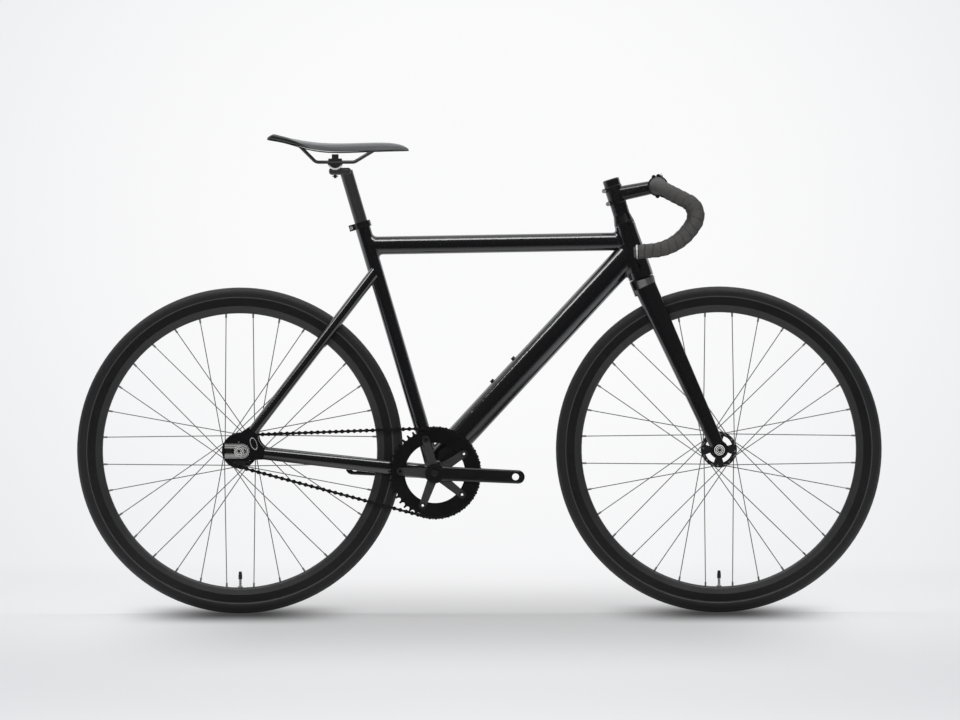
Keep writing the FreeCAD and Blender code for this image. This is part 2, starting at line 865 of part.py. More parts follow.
def spokes(flange_spacing):
    # Each spoke has a bent, headed end through the hub flange and a nipple at the rim.
    solids = []
    screw_on = nipple()
    for hub_point, rim_point, head_way in spoke_lines(flange_spacing):
        through = across * head_way
        flange_side = hub_point + through * (spoke_bend + flange_thickness + contact_gap)
        stub_end = flange_side + through * spoke_head_height
        path = rounded_path([stub_end, hub_point, rim_point], [spoke_bend])
        head = rod(flange_side, stub_end, spoke_head_diameter / 2)
        solids.append(swept(path, spoke_diameter / 2).fuse(head))
        solids.append(aimed(screw_on, rim_point, rim_point - hub_point))
    return group(solids)


def inner_tube():
    # The tube and its valve are one moulding; the valve passes down through the rim.
    section = tyre_section - tyre_wall - end_gap
    way = direction(valve_angle)
    nose = rim_nose - valve_stem_length
    ring_out = Part.makeTorus(tyre_centre, section, Vec(), across)
    ring_in = Part.makeTorus(tyre_centre, section - inner_tube_wall, Vec(), across)
    stem = rod(way * nose, way * (tyre_centre - section + inner_tube_wall), valve_diameter / 2)
    nut = rod(way * (rim_nose - valve_nut_height), way * (rim_nose - hole_gap), valve_nut_diameter / 2)
    cap = rod(way * (nose - valve_cap_length / 2), way * nose, valve_cap_diameter / 2)
    tip = Part.makeCone(valve_cap_diameter / 2, valve_diameter / 2, valve_cap_length / 2,
                        way * (nose - valve_cap_length / 2), way * -1)
    return largest(joined([ring_out, stem, nut, cap, tip]).cut(ring_in))


def sector(inner, outer, middle, span, y_from, y_to):
    turns = (middle - span / 2, middle, middle + span / 2)
    outside = [polar(outer, turn, y_from) for turn in turns]
    inside = [polar(inner, turn, y_from) for turn in reversed(turns)]
    edges = [Part.Arc(outside[0], outside[1], outside[2]).toShape(),
             Part.LineSegment(outside[2], inside[0]).toShape(),
             Part.Arc(inside[0], inside[1], inside[2]).toShape(),
             Part.LineSegment(inside[2], outside[0]).toShape()]
    return Part.Face(Part.Wire(edges)).extrude(across * (y_to - y_from))


def hub_flank(flange_spacing, nose_steps, end):
    flange_in = flange_spacing / 2 - flange_thickness / 2
    flange_out = flange_in + flange_thickness
    seat = bearing_diameter / 2
    start = [(hub_waist_diameter / 2, flange_in), (flange_diameter / 2, flange_in),
             (flange_diameter / 2, flange_out)]
    finish = [(seat, end), (seat, end - bearing_width), (hub_bore / 2, end - bearing_width)]
    return start + nose_steps(flange_out, end) + finish


def plain_nose(flange_out, end):
    return [(hub_nose_diameter / 2, flange_out), (hub_nose_diameter / 2, end)]


cog_outside = chain_line + sprocket_thickness / 2
cog_inside = chain_line - sprocket_thickness / 2 - cog_boss_width


def cog_nose(flange_out, end):
    shoulder = (cog_boss_diameter + cog_seat_diameter) / 4
    cog_seat = cog_seat_diameter / 2
    lock_seat = lockring_seat_diameter / 2
    return [(shoulder, flange_out), (shoulder, cog_inside), (cog_seat, cog_inside),
            (cog_seat, cog_outside), (lock_seat, cog_outside), (lock_seat, end)]


def hub(flange_spacing, right_nose, end):
    left = hub_flank(flange_spacing, plain_nose, end)
    right = [(radius, -along) for radius, along in hub_flank(flange_spacing, right_nose, end)]
    shell = turned_across(left + right[::-1])
    cutters = []
    for index in range(window_count):
        middle = (index + 0.5) * 360 / window_count
        cutters.append(sector(window_inner_radius, window_outer_radius, middle, window_span,
                              -flange_spacing / 2 - flange_thickness, flange_spacing / 2 + flange_thickness))
    for hub_point, rim_point, head_way in spoke_lines(flange_spacing):
        side = math.copysign(flange_spacing / 2, hub_point.y)
        radius = spoke_diameter / 2 + hole_gap
        cutters.append(disc(hub_point, radius, side - flange_thickness, side + flange_thickness))
        cutters.append(rod(hub_point, rim_point, radius))
    return largest(shell.cut(cutters))


def hub_bearings(end):
    outer = bearing_diameter / 2 - contact_gap
    inner = axle_diameter / 2 + running_gap
    start = end - bearing_width + contact_gap
    return group([ring(Vec(), outer, inner, start, end), ring(Vec(), outer, inner, -end, -start)])


def axle(locknut_width, hub_end, tip_diameter, tip_length):
    # A hollow shaft with a locknut against each fork or frame end, and a tip in each slot.
    face = locknut_width / 2
    shaft = disc(Vec(), axle_diameter / 2, -face, face)
    tips = disc(Vec(), tip_diameter / 2, -face - tip_length, face + tip_length)
    right = disc(Vec(), locknut_diameter / 2, -face, -hub_end - end_gap)
    left = disc(Vec(), locknut_diameter / 2, hub_end + end_gap, face)
    bore = axle_bore / 2
    tip_end = face + tip_length
    bores = [disc(Vec(), bore, -tip_end, axle_thread_reach - tip_end),
             disc(Vec(), bore, tip_end - axle_thread_reach, tip_end)]
    return joined([shaft, tips, right, left]).cut(bores)


def axle_bolts(seat, flange_diameter_out):
    screw = socket_screw(axle_bore - 2 * contact_gap, axle_thread_reach - end_gap, axle_bolt_head_diameter,
                         bolt_flange_height + axle_bolt_head_height, axle_bolt_hex)
    bolt = screw.fuse(Part.makeCylinder(flange_diameter_out / 2, bolt_flange_height)).removeSplitter()
    return group([aimed(bolt, across * -seat, across * -1), aimed(bolt, across * seat, across)])


# Chain and sprockets
def sprocket(teeth, first_tooth):
    step = 360 / teeth
    radius = pitch_radius(teeth)
    tip = radius + tooth_rise
    tip_half = math.degrees(math.asin(tooth_tip_width / 2 / tip))
    seat = roller_diameter / 2 + seat_clearance
    edges = []
    last = None
    for index in range(teeth):
        tooth = first_tooth + index * step
        gap = tooth + step / 2
        roller = direction(gap) * radius
        tip_from = direction(tooth - tip_half) * tip
        tip_to = direction(tooth + tip_half) * tip
        seat_from = roller + direction(gap + 180 + tooth_seat_span) * seat
        seat_base = roller - direction(gap) * seat
        seat_to = roller + direction(gap + 180 - tooth_seat_span) * seat
        if last:
            edges.append(Part.LineSegment(last, tip_from).toShape())
        else:
            start = tip_from
        edges.append(Part.LineSegment(tip_from, tip_to).toShape())
        edges.append(Part.LineSegment(tip_to, seat_from).toShape())
        edges.append(Part.Arc(seat_from, seat_base, seat_to).toShape())
        last = seat_to
    edges.append(Part.LineSegment(last, start).toShape())
    blank = Part.Face(Part.Wire(edges)).extrude(across * sprocket_thickness)
    blank.translate(across * -cog_outside)
    return blank


def rear_cog():
    blank = sprocket(cog_teeth, line_angle + 180)
    boss = disc(Vec(), cog_boss_diameter / 2, -cog_outside, -cog_inside)
    return blank.fuse(boss).removeSplitter().cut(disc(Vec(), cog_seat_diameter / 2 + contact_gap, -far, far))


def cog_lockring():
    outer = lockring_diameter / 2
    start = -cog_outside - contact_gap
    band = ring(Vec(), outer, lockring_seat_diameter / 2 + contact_gap, start, start - lockring_width)
    notch_half = lockring_notch_width / 2
    notch = block(outer - lockring_notch_depth, far, -far, far, -notch_half, notch_half)
    step = 360 / lockring_notches
    return band.cut([turned(notch, index * step) for index in range(lockring_notches)])


def ring_bolt_points():
    # The bolts stand between the crank arm and its opposite side, evenly round the bolt circle.
    step = 360 / ring_bolt_count
    return [direction(crank_angle + (index + 0.5) * step) * (bolt_circle / 2)
            for index in range(ring_bolt_count)]


def chainring():
    blank = sprocket(ring_teeth, line_angle)
    holes = [disc(point, ring_bolt_diameter / 2 + contact_gap, -far, far) for point in ring_bolt_points()]
    holes.append(disc(Vec(), ring_inner_diameter / 2, -far, far))
    return shifted(blank.cut(holes), bracket_point)


def chain_pins():
    ring_step = 360 / ring_teeth
    cog_step = 360 / cog_teeth
    ring_start = line_angle + ring_end_angle
    cog_start = line_angle + 180 + cog_end_angle
    on_ring = [bracket_point + direction(ring_start - index * ring_step) * ring_pitch_radius
               for index in range(ring_wrap + 1)]
    on_cog = [rear_axle_point + direction(cog_start - index * cog_step) * cog_pitch_radius
              for index in range(cog_wrap + 1)]
    lower = straight_pins(on_ring[-1], on_cog[0])
    upper = straight_pins(on_cog[-1], on_ring[0])
    return on_ring + lower + on_cog + upper


def straight_pins(start, end):
    return [start + (end - start) * (index / run_links) for index in range(1, run_links)]


def link_plate(y_from, y_to):
    # A plate with two round ends and a narrow waist, its pins on X.
    half = chain_pitch / 2
    end = chain_plate_height / 2
    waist = chain_plate_waist / 2
    corners = [Vec(x, y_from, z) for x, z in ((half, end), (-half, end), (-half, -end), (half, -end))]
    edges = [Part.Arc(corners[0], Vec(0, y_from, waist), corners[1]).toShape(),
             Part.Arc(corners[1], Vec(-half - end, y_from, 0), corners[2]).toShape(),
             Part.Arc(corners[2], Vec(0, y_from, -waist), corners[3]).toShape(),
             Part.Arc(corners[3], Vec(half + end, y_from, 0), corners[0]).toShape()]
    return Part.Face(Part.Wire(edges)).extrude(across * (y_to - y_from))


link_ends = (Vec(-chain_pitch / 2, 0, 0), Vec(chain_pitch / 2, 0, 0))
inner_plate_face = inner_link_width / 2
inner_plate_back = inner_plate_face + chain_plate_thickness
outer_plate_face = inner_plate_back + chain_side_gap
outer_plate_back = outer_plate_face + chain_plate_thickness
pin_end = outer_plate_back + chain_pin_overhang


def inner_link():
    plates = [link_plate(inner_plate_face, inner_plate_back),
              link_plate(-inner_plate_back, -inner_plate_face)]
    rollers = [disc(end, roller_diameter / 2, -inner_plate_face, inner_plate_face) for end in link_ends]
    bores = [disc(end, chain_pin_diameter / 2 + running_gap, -far, far) for end in link_ends]
    return joined(plates + rollers).cut(bores)


def outer_link():
    plates = [link_plate(outer_plate_face, outer_plate_back),
              link_plate(-outer_plate_back, -outer_plate_face)]
    pins = [disc(end, chain_pin_diameter / 2, -pin_end, pin_end) for end in link_ends]
    return joined(plates + pins)


def chain():
    pins = chain_pins()
    links = (outer_link(), inner_link())
    solids = []
    for index, start in enumerate(pins):
        end = pins[(index + 1) % len(pins)]
        heading = math.degrees(math.atan2(end.z - start.z, end.x - start.x))
        middle = (start + end) * 0.5 - across * chain_line
        place = FreeCAD.Placement(middle, FreeCAD.Rotation(across, -heading))
        solids.append(placed(links[index % 2], place))
    return group(solids)


# Cranks
spider_face = -cog_outside - contact_gap
boss_inside = crank_boss_face - crank_boss_depth


def crank_section(x, middle, height, thickness):
    flat = rounded_rectangle(Vec(), height, thickness, thickness * crank_corner_share)
    return placed(flat, FreeCAD.Placement(Vec(x, -middle, 0), FreeCAD.Rotation(across, 90)))


def crank_bar():
    # A straight arm that flares outward to a round end, with the pedal thread near that end.
    end = crank_length + crank_end_overhang
    root_middle = crank_boss_face - crank_root_thickness / 2
    root = crank_section(0, root_middle, crank_root_height, crank_root_thickness)
    tip_middle = crank_boss_face + crank_flare - crank_tip_thickness / 2
    tip = crank_section(end, tip_middle, crank_tip_height, crank_tip_thickness)
    bar = Part.makeLoft([root, tip], True, True)
    round_by = crank_tip_height / 2
    trim = block(0, end - round_by, -far, far, -far, far)
    trim = trim.fuse(disc(Vec(end - round_by, 0, 0), round_by, -far, far))
    return bar.common(trim)


def spider_arms():
    outer = spider_face - spider_thickness
    tip = bolt_circle / 2
    arm = plate([(0, -spider_root_width / 2), (tip, -spider_tip_width / 2),
                 (tip, spider_tip_width / 2), (0, spider_root_width / 2)], outer, spider_face)
    tab = disc(Vec(tip, 0, 0), spider_tip_width / 2, outer, spider_face)
    arm = arm.fuse(tab)
    step = 360 / ring_bolt_count
    return [turned(arm, (index + 0.5) * step) for index in range(ring_bolt_count)]


def crank_arm(with_spider):
    # Drawn on the right side, pointing along X.
    boss = disc(Vec(), crank_boss_diameter / 2, -crank_boss_face, -boss_inside)
    shapes = [boss, crank_bar()]
    square = spindle_square / 2 + contact_gap
    cutters = [block(-square, square, -boss_inside - spindle_square_length, 0, -square, square),
               disc(Vec(), spindle_diameter / 2 + contact_gap, -boss_inside, 0),
               disc(Vec(), crank_bolt_diameter / 2 + hole_gap, -far, 0),
               disc(Vec(), crank_recess_diameter / 2, -far, crank_recess_depth - crank_boss_face),
               disc(Vec(crank_length, 0, 0), pedal_thread_diameter / 2, -far, far)]
    if with_spider:
        shapes.extend(spider_arms())
        step = 360 / ring_bolt_count
        for index in range(ring_bolt_count):
            point = direction((index + 0.5) * step) * (bolt_circle / 2)
            cutters.append(disc(point, ring_bolt_diameter / 2 + contact_gap, -far, 0))
    return joined(shapes).cut(cutters)


def crank_frame(angle):
    return FreeCAD.Placement(bracket_point, FreeCAD.Rotation(across, -angle))


def chainring_bolts():
    outer = spider_face - spider_thickness
    inner = -chain_line + sprocket_thickness / 2
    bolts = []
    for point in ring_bolt_points():
        sleeve = disc(point, ring_bolt_diameter / 2, outer, inner)
        head = disc(point, ring_bolt_head_diameter / 2, outer - ring_bolt_head_height, outer)
        nut = disc(point, ring_bolt_head_diameter / 2, inner, inner + ring_bolt_head_height)
        hole = disc(point, ring_bolt_hole_diameter / 2, -far, far)
        bolts.append(shifted(joined([sleeve, head, nut]).cut(hole), bracket_point))
    return group(bolts)


def crank_spindle():
    half = spindle_square / 2
    end = boss_inside + spindle_square_length
    shaft = disc(Vec(), spindle_diameter / 2, -boss_inside, boss_inside)
    square = block(-half, half, -end, end, -half, half)
    square = square.common(disc(Vec(), spindle_diameter / 2, -end, end))
    reach = crank_bolt_length + end_gap
    bores = [disc(Vec(), crank_bolt_diameter / 2 + contact_gap, -end, reach - end),
             disc(Vec(), crank_bolt_diameter / 2 + contact_gap, end - reach, end)]
    return placed(joined([shaft, square]).cut(bores), crank_frame(crank_angle))


def crank_bolts():
    seat = crank_boss_face - crank_recess_depth
    screw = socket_screw(crank_bolt_diameter, crank_bolt_length, crank_bolt_head_diameter,
                         crank_bolt_head_height, crank_bolt_hex)
    pair = [aimed(screw, across * -seat, across * -1), aimed(screw, across * seat, across)]
    return group([shifted(bolt, bracket_point) for bolt in pair])


def bracket_bearings():
    outer = shell_bore / 2 - contact_gap
    inner = spindle_diameter / 2 + running_gap
    face = shell_width / 2
    start = face - bracket_bearing_width
    return group([ring(bracket_point, outer, inner, start, face),
                  ring(bracket_point, outer, inner, -face, -start)])


# Fork and headset, drawn with Z up the steering axis and the origin at the top of the crown
cover_base = head_top + headset_gap
cover_top = cover_base + top_cover_height
stem_base = cover_top + sum(spacer_heights)
stem_top = stem_base + stem_clamp_height
cap_base = stem_top + top_spacer_height
steerer_top = cap_base - preload_gap
steerer_radius = steerer_diameter / 2
steerer_base_radius = steerer_base_diameter / 2
axle_spot = Vec(fork_rake, 0, -fork_length)


def fork_steerer():
    # A plug pressed into the top of the tube takes the cap bolt.
    inner = steerer_radius - steerer_wall
    plug_top = steerer_top - steerer_plug_drop
    thread = stem_bolt_diameter / 2
    points = [(inner, -crown_socket), (steerer_base_radius, -crown_socket),
              (steerer_base_radius, steerer_base_length),
              (steerer_radius, steerer_base_length + steerer_taper_length), (steerer_radius, steerer_top),
              (inner, steerer_top), (inner, plug_top), (thread, plug_top),
              (thread, plug_top - steerer_plug_depth), (inner, plug_top - steerer_plug_depth)]
    return turned_upright(points)


def fork_crown():
    collar = head_tube_base_diameter - 2 * contact_gap
    top = rounded_rectangle(Vec(), collar, collar, collar / 2)
    base = rounded_rectangle(Vec(0, 0, -crown_depth), crown_length, crown_width, crown_corner)
    body = Part.makeLoft([base, top], True, True)
    race = Part.makeCylinder((lower_bearing_diameter + steerer_base_diameter) / 4, crown_race_height)
    seal = Part.makeCylinder(head_tube_base_diameter / 2 - crown_seal_inset, crown_seal_height)
    socket_radius = steerer_base_radius + contact_gap
    socket = Part.makeCylinder(socket_radius, crown_socket + far, Vec(0, 0, -crown_socket))
    return joined([body, race, seal]).cut(socket)


def blade_section(share, length, width, trim):
    spread = blade_top_spread + (blade_tip_spread - blade_top_spread) * share
    centre = Vec(fork_rake * share, -spread, -fork_length * share)
    return oval(centre, axle_spot, length - 2 * trim, width - 2 * trim)


def blade_loft(top_share, tip_share, trim):
    sections = [blade_section(top_share, blade_top_length, blade_top_width, trim),
                blade_section(blade_mid_share, blade_mid_length, blade_mid_width, trim),
                blade_section(tip_share, blade_tip_length, blade_tip_width, trim)]
    return oval_taper(sections)


def fork_blade_right():
    # A hollow blade with a slotted tip for the front axle.
    end_share = 1 - blade_end_rise / fork_length
    cavity_top = (crown_depth + blade_wall) / fork_length
    cavity_end = end_share - 2 * blade_end_rise / fork_length
    blade = blade_loft(crown_depth / 2 / fork_length, end_share, 0)
    cavity = blade_loft(cavity_top, cavity_end, blade_wall)
    inner = -front_locknut_width / 2
    outer = inner - fork_tip_thickness
    root = axle_spot * (cavity_end - blade_wall / fork_length)
    side = fork_tip_radius * fork_web_share
    web_top = root.z + blade_end_rise
    web = plate([(axle_spot.x - side, axle_spot.z), (axle_spot.x + side, axle_spot.z),
                 (root.x + side, web_top), (root.x - side, web_top)], outer, inner)
    tip = disc(axle_spot, fork_tip_radius, outer, inner)
    slot_half = fork_slot_width / 2
    slot = block(axle_spot.x - slot_half, axle_spot.x + slot_half, -far, far, -far, axle_spot.z)
    slot = slot.fuse(disc(axle_spot, slot_half, -far, far))
    whole = joined([blade.cut(cavity), web.cut(cavity), tip])
    return largest(whole.cut([slot, fork_crown()]))


def headset_top_cover():
    bore = steerer_radius + contact_gap
    wide = top_cover_diameter / 2
    narrow = spacer_diameter / 2
    lip_top = cover_base + top_cover_height * top_cover_lip_share
    points = [(bore, cover_base), (wide, cover_base), (wide, lip_top), (narrow, cover_top), (bore, cover_top)]
    return turned_upright(points)


def edged_ring(bore, outer, base, top, top_edge):
    # A ring on the steering axis with both outer edges broken.
    return turned_upright([(bore, base), (outer - ring_edge, base), (outer, base + ring_edge),
                           (outer, top - top_edge), (outer - top_edge, top), (bore, top)])


def collar_ring(base, height):
    return edged_ring(steerer_radius + contact_gap, spacer_diameter / 2, base, base + height, ring_edge)


def headset_spacers():
    rings = []
    base = cover_top
    for height in spacer_heights:
        rings.append(collar_ring(base, height))
        base += height
    rings.append(collar_ring(stem_top, top_spacer_height))
    return group(rings)


def headset_bearings():
    def bearing(base, outer_diameter, bore_diameter):
        outer = Part.makeCylinder(outer_diameter / 2, headset_bearing_height, upward * base)
        bore_radius = bore_diameter / 2 + running_gap
        return outer.cut(Part.makeCylinder(bore_radius, headset_bearing_height, upward * base))
    lower = bearing(head_base, lower_bearing_diameter, steerer_base_diameter)
    upper = bearing(head_top - headset_bearing_height, upper_bearing_diameter, steerer_diameter)
    return group([lower, upper])


def top_cap():
    bore = stem_bolt_diameter / 2 + hole_gap
    cap = edged_ring(bore, spacer_diameter / 2, cap_base, cap_base + top_cap_height, top_cap_corner)
    recess_base = cap_base + top_cap_height - stem_bolt_head_height
    recess = Part.makeCylinder(stem_bolt_head_diameter / 2 + hole_gap, far, upward * recess_base)
    return cap.cut(recess)


# Stem, drawn with X along its reach and the origin at the middle of the bar clamp
stem_rise = 90 - head_angle - stem_drop_angle
stem_middle = crown_point + steer_axis * (stem_base + stem_clamp_height / 2)
bar_centre = stem_middle + direction(stem_rise) * stem_reach
stem_frame = FreeCAD.Placement(bar_centre, FreeCAD.Rotation(across, -stem_rise))
bar_clamp_half = bar_clamp_width / 2
bar_radius = bar_diameter / 2


def stem_section(x, height, width):
    flat = rounded_rectangle(Vec(), height, width, min(height, width) * stem_corner_share)
    return placed(flat, FreeCAD.Placement(Vec(x, 0, 0), FreeCAD.Rotation(across, 90)))


def pinch_bolt_points():
    middle = stem_base + stem_clamp_height / 2
    return [Vec(-pinch_bolt_setback, 0, middle + way * pinch_bolt_spacing / 2) for way in (-1, 1)]


def faceplate_bolt_points():
    return [Vec(clamp_ear_depth, side * faceplate_bolt_spread / 2, level * faceplate_bolt_rise)
            for side in (-1, 1) for level in (-1, 1)]


def bar_clamp_blank(x_from, x_to):
    # Half of the barrel with the ears that take the screws, their corners broken.
    barrel = disc(Vec(), bar_clamp_diameter / 2, -bar_clamp_half, bar_clamp_half)
    keep = block(x_from, x_to, -far, far, -far, far)
    rear = max(x_from, -clamp_ear_depth)
    front = min(x_to, clamp_ear_depth)
    level = clamp_ear_height - clamp_ear_corner
    side = [(rear, level), (rear + clamp_ear_corner, clamp_ear_height),
            (front - clamp_ear_corner, clamp_ear_height), (front, level)]
    ears = plate(side + [(x, -z) for x, z in reversed(side)], -bar_clamp_half, bar_clamp_half)
    return joined([barrel.common(keep), ears])


def faceplate_bolt_holes():
    # Each hole ends behind its screw; in front of the ear a wider recess clears the screw head.
    radius = stem_bolt_diameter / 2 + contact_gap
    recess = stem_bolt_head_diameter / 2 + hole_gap
    depth = Vec(2 * clamp_ear_depth, 0, 0)
    holes = [rod(point - depth, point, radius) for point in faceplate_bolt_points()]
    return holes + [rod(point, point + depth, recess) for point in faceplate_bolt_points()]


def bar_bore():
    return disc(Vec(), bar_radius + running_gap, -far, far)


def stem_body():
    sleeve = edged_ring(0, stem_clamp_diameter / 2, stem_base, stem_top, ring_edge)
    ears = [sleeve]
    ear_half = pinch_ear_width / 2
    ear_round = pinch_ear_height / 2
    for point in pinch_bolt_points():
        ears.append(disc(point, ear_round, -ear_half, ear_half))
        ears.append(block(point.x, 0, -ear_half, ear_half, point.z - ear_round, point.z + ear_round))
    root = stem_section(-stem_reach, stem_root_height, stem_root_width)
    tip = stem_section(-bar_radius, stem_tip_height, stem_tip_width)
    reach = Part.makeLoft([root, tip], True, True)
    clamp = bar_clamp_blank(-far, -faceplate_gap / 2)
    steerer_hole = Part.makeCylinder(steerer_radius + contact_gap, 2 * far, upward * -far)
    slit = block(-far, 0, -pinch_slit / 2, pinch_slit / 2, -far, far)
    pinch_radius = stem_bolt_diameter / 2 + contact_gap
    pinch_holes = [disc(point, pinch_radius, -far, far) for point in pinch_bolt_points()]
    front = [placed(shape, stem_frame) for shape in (reach, clamp)]
    rear = [placed(shape, steer_frame) for shape in ears]
    cutters = [placed(shape, steer_frame) for shape in [steerer_hole, slit] + pinch_holes]
    cutters += [placed(shape, stem_frame) for shape in [bar_bore()] + faceplate_bolt_holes()]
    return largest(joined(rear + front).cut(cutters))


def stem_faceplate():
    blank = bar_clamp_blank(faceplate_gap / 2, far)
    return placed(blank.cut([bar_bore()] + faceplate_bolt_holes()), stem_frame)


def stem_bolts():
    # Four faceplate screws, two pinch screws and the screw in the top cap.
    def screw(length):
        return socket_screw(stem_bolt_diameter, length, stem_bolt_head_diameter,
                            stem_bolt_head_height, stem_bolt_hex)
    forward = Vec(1, 0, 0)
    front = [aimed(screw(2 * clamp_ear_depth - end_gap), point, forward) for point in faceplate_bolt_points()]
    pinch = [aimed(screw(pinch_ear_width - end_gap), point - across * (pinch_ear_width / 2), across * -1)
             for point in pinch_bolt_points()]
    cap_seat = upward * (cap_base + top_cap_height - stem_bolt_head_height)
    cap = [shifted(screw(top_cap_bolt_length), cap_seat)]
    solids = [placed(shape, stem_frame) for shape in front]
    solids += [placed(shape, steer_frame) for shape in pinch + cap]
    return group(solids)


# Handlebar, drawn on the right side and mirrored
def bar_route(start):
    slope = bar_ramp_drop / bar_ramp_forward
    points = [Vec(0, -start, 0), Vec(0, -bar_sweep_start, 0),
              Vec(bar_sweep_forward, bar_sweep_inset - bar_half_width, -bar_sweep_forward * slope),
              Vec(bar_ramp_forward, -bar_half_width, -bar_ramp_drop),
              Vec(bar_hook_forward, -bar_half_width, -bar_hook_drop),
              Vec(-bar_end_back, -bar_half_width, -bar_end_drop)]
    return [bar_centre + point for point in points]


def bent_side(radius):
    return swept(rounded_path(bar_route(bar_taper_end), bar_bends), radius)


def bar_middle(extra, start, end):
    # The thick middle of the bar and its tapers, between two places along Y.
    thick = bar_radius + extra
    thin = grip_bar_diameter / 2 + extra
    bulge = bar_bulge_width / 2
    middle = turned_across([(0, -bar_taper_end), (thin, -bar_taper_end), (thick, -bulge),
                            (thick, bulge), (thin, bar_taper_end), (0, bar_taper_end)])
    return shifted(middle.common(block(-far, far, start, end, -far, far)), bar_centre)


def handlebar():
    inner = grip_bar_diameter / 2 - bar_wall
    right = bent_side(grip_bar_diameter / 2)
    bore = bent_side(inner)
    middle_bore = disc(bar_centre, inner, -bar_taper_end, bar_taper_end)
    body = joined([bar_middle(0, -far, far), right, mirrored(right)])
    return largest(body.cut([middle_bore, bore, mirrored(bore)]))


def bar_tape():
    grip = grip_bar_diameter / 2 + contact_gap
    sleeve = joined([bar_middle(tape_thickness, -bar_taper_end, -tape_start),
                     bent_side(grip + tape_thickness)])
    right = largest(sleeve.cut([bar_middle(contact_gap, -far, far), bent_side(grip)]))
    return group([right, mirrored(right)])


def bar_plugs():
    route = bar_route(bar_taper_end)
    end = route[-1]
    way = (route[-1] - route[-2]).normalize()
    flange = rod(end + way * contact_gap, end + way * bar_plug_height, bar_plug_diameter / 2)
    insert_radius = grip_bar_diameter / 2 - bar_wall - contact_gap
    insert = rod(end - way * bar_plug_insert, end + way * bar_plug_height, insert_radius)
    plug = flange.fuse(insert).removeSplitter()
    return group([plug, mirrored(plug)])


# Seatpost, saddle clamp and saddle, drawn about the tilt axis of the clamp
clamp_point = seat_frame.multVec(Vec(-seatpost_setback, 0, seat_tube_length + seatpost_clamp_rise))


def seatpost():
    head_top_level = clamp_point.z - head_below_axis
    head_base_level = head_top_level - post_head_depth
    foot = bracket_point + seat_axis * (seat_tube_length - seatpost_insertion)
    neck_level = (head_top_level + head_base_level) / 2
    neck = bracket_point + seat_axis * ((neck_level - bracket_point.z) / seat_axis.z)
    post = rod(foot, neck, seatpost_diameter / 2)
    bore = rod(foot, neck - seat_axis * post_head_depth, seatpost_diameter / 2 - seatpost_wall)
    half = post_head_width / 2
    head = block(clamp_point.x - post_head_rear, clamp_point.x + post_head_front, -half, half,
                 head_base_level, head_top_level)
    head = head.makeFillet(post_head_corner, head.Edges)
    cradle = disc(clamp_point, tilt_radius + running_gap, -far, far)
    swing = (head_below_axis + post_head_depth) * math.tan(math.radians(clamp_tilt))
    reach = clamp_bolt_diameter / 2 + hole_gap + swing
    side = clamp_bolt_diameter / 2 + hole_gap
    slot = block(clamp_point.x - reach, clamp_point.x + reach, -side, side, head_base_level, head_top_level)
    return largest(joined([post, head]).cut([bore, cradle, slot]))


def saddle_clamp_jaws():
    half_length = jaw_length / 2
    half_width = jaw_width / 2
    split = jaw_split / 2
    grooves = [rod(Vec(-far, side, 0), Vec(far, side, 0), rail_diameter / 2 + running_gap)
               for side in (-rail_spread, rail_spread)]
    bolt_hole = Part.makeCylinder(clamp_bolt_diameter / 2 + contact_gap, 2 * far, upward * -far)
    moon = disc(Vec(), tilt_radius, -cradle_width / 2, cradle_width / 2)
    moon = moon.common(block(-far, far, -far, far, -far, -split))
    lower = block(-half_length, half_length, -half_width, half_width, -lower_jaw_depth, -split)
    upper = block(-half_length, half_length, -half_width, half_width, split, upper_jaw_height)
    jaws = [joined([lower, moon]).cut(grooves + [bolt_hole]), upper.cut(grooves + [bolt_hole])]
    return group([shifted(largest(jaw), clamp_point) for jaw in jaws])


def saddle_clamp_bolt():
    # The bolt hangs through the post head and turns into a nut above the upper jaw.
    washer_top = -(head_below_axis + post_head_depth + clamp_washer_gap)
    washer_base = washer_top - clamp_washer_height
    nut_top = upper_jaw_height + clamp_nut_height
    shank = rod(upward * (washer_base - clamp_bolt_overhang), upward * nut_top, clamp_bolt_diameter / 2)
    washer = rod(upward * washer_base, upward * washer_top, clamp_washer_diameter / 2)
    half_length = clamp_nut_length / 2
    half_width = clamp_nut_width / 2
    nut = block(-half_length, half_length, -half_width, half_width, upper_jaw_height, nut_top)
    return shifted(joined([shank, washer, nut]), clamp_point)


def pad_section(forward, top, base, half):
    # A flat base, drawn-in sides that swell outward, and a crowned top.
    height = top - base
    foot = half * saddle_skirt_share
    edge = half * saddle_crown_share
    shoulder = top - height * saddle_shoulder_share
    swell = base + height * saddle_swell_share
    points = [Vec(forward, y, z)
              for y, z in ((foot, base), (edge, shoulder), (-edge, shoulder), (-foot, base))]
    edges = [Part.Arc(points[0], Vec(forward, half, swell), points[1]).toShape(),
             Part.Arc(points[1], Vec(forward, 0, top), points[2]).toShape(),
             Part.Arc(points[2], Vec(forward, -half, swell), points[3]).toShape(),
             Part.LineSegment(points[3], points[0]).toShape()]
    return Part.Wire(edges)


def saddle_pad():
    sections = [pad_section(forward, top, base + saddle_base_thickness, half)
                for forward, top, base, half in saddle_stations]
    return shifted(Part.makeLoft(sections, True, False), clamp_point)


def saddle_shell():
    sections = []
    for forward, top, base, half in saddle_stations:
        side = half * saddle_base_share
        lid = base + saddle_base_thickness - hole_gap
        corners = [Vec(forward, y, z) for y, z in ((side, base), (side, lid), (-side, lid), (-side, base))]
        sections.append(Part.makePolygon(corners + corners[:1]))
    return shifted(Part.makeLoft(sections, True, False), clamp_point)


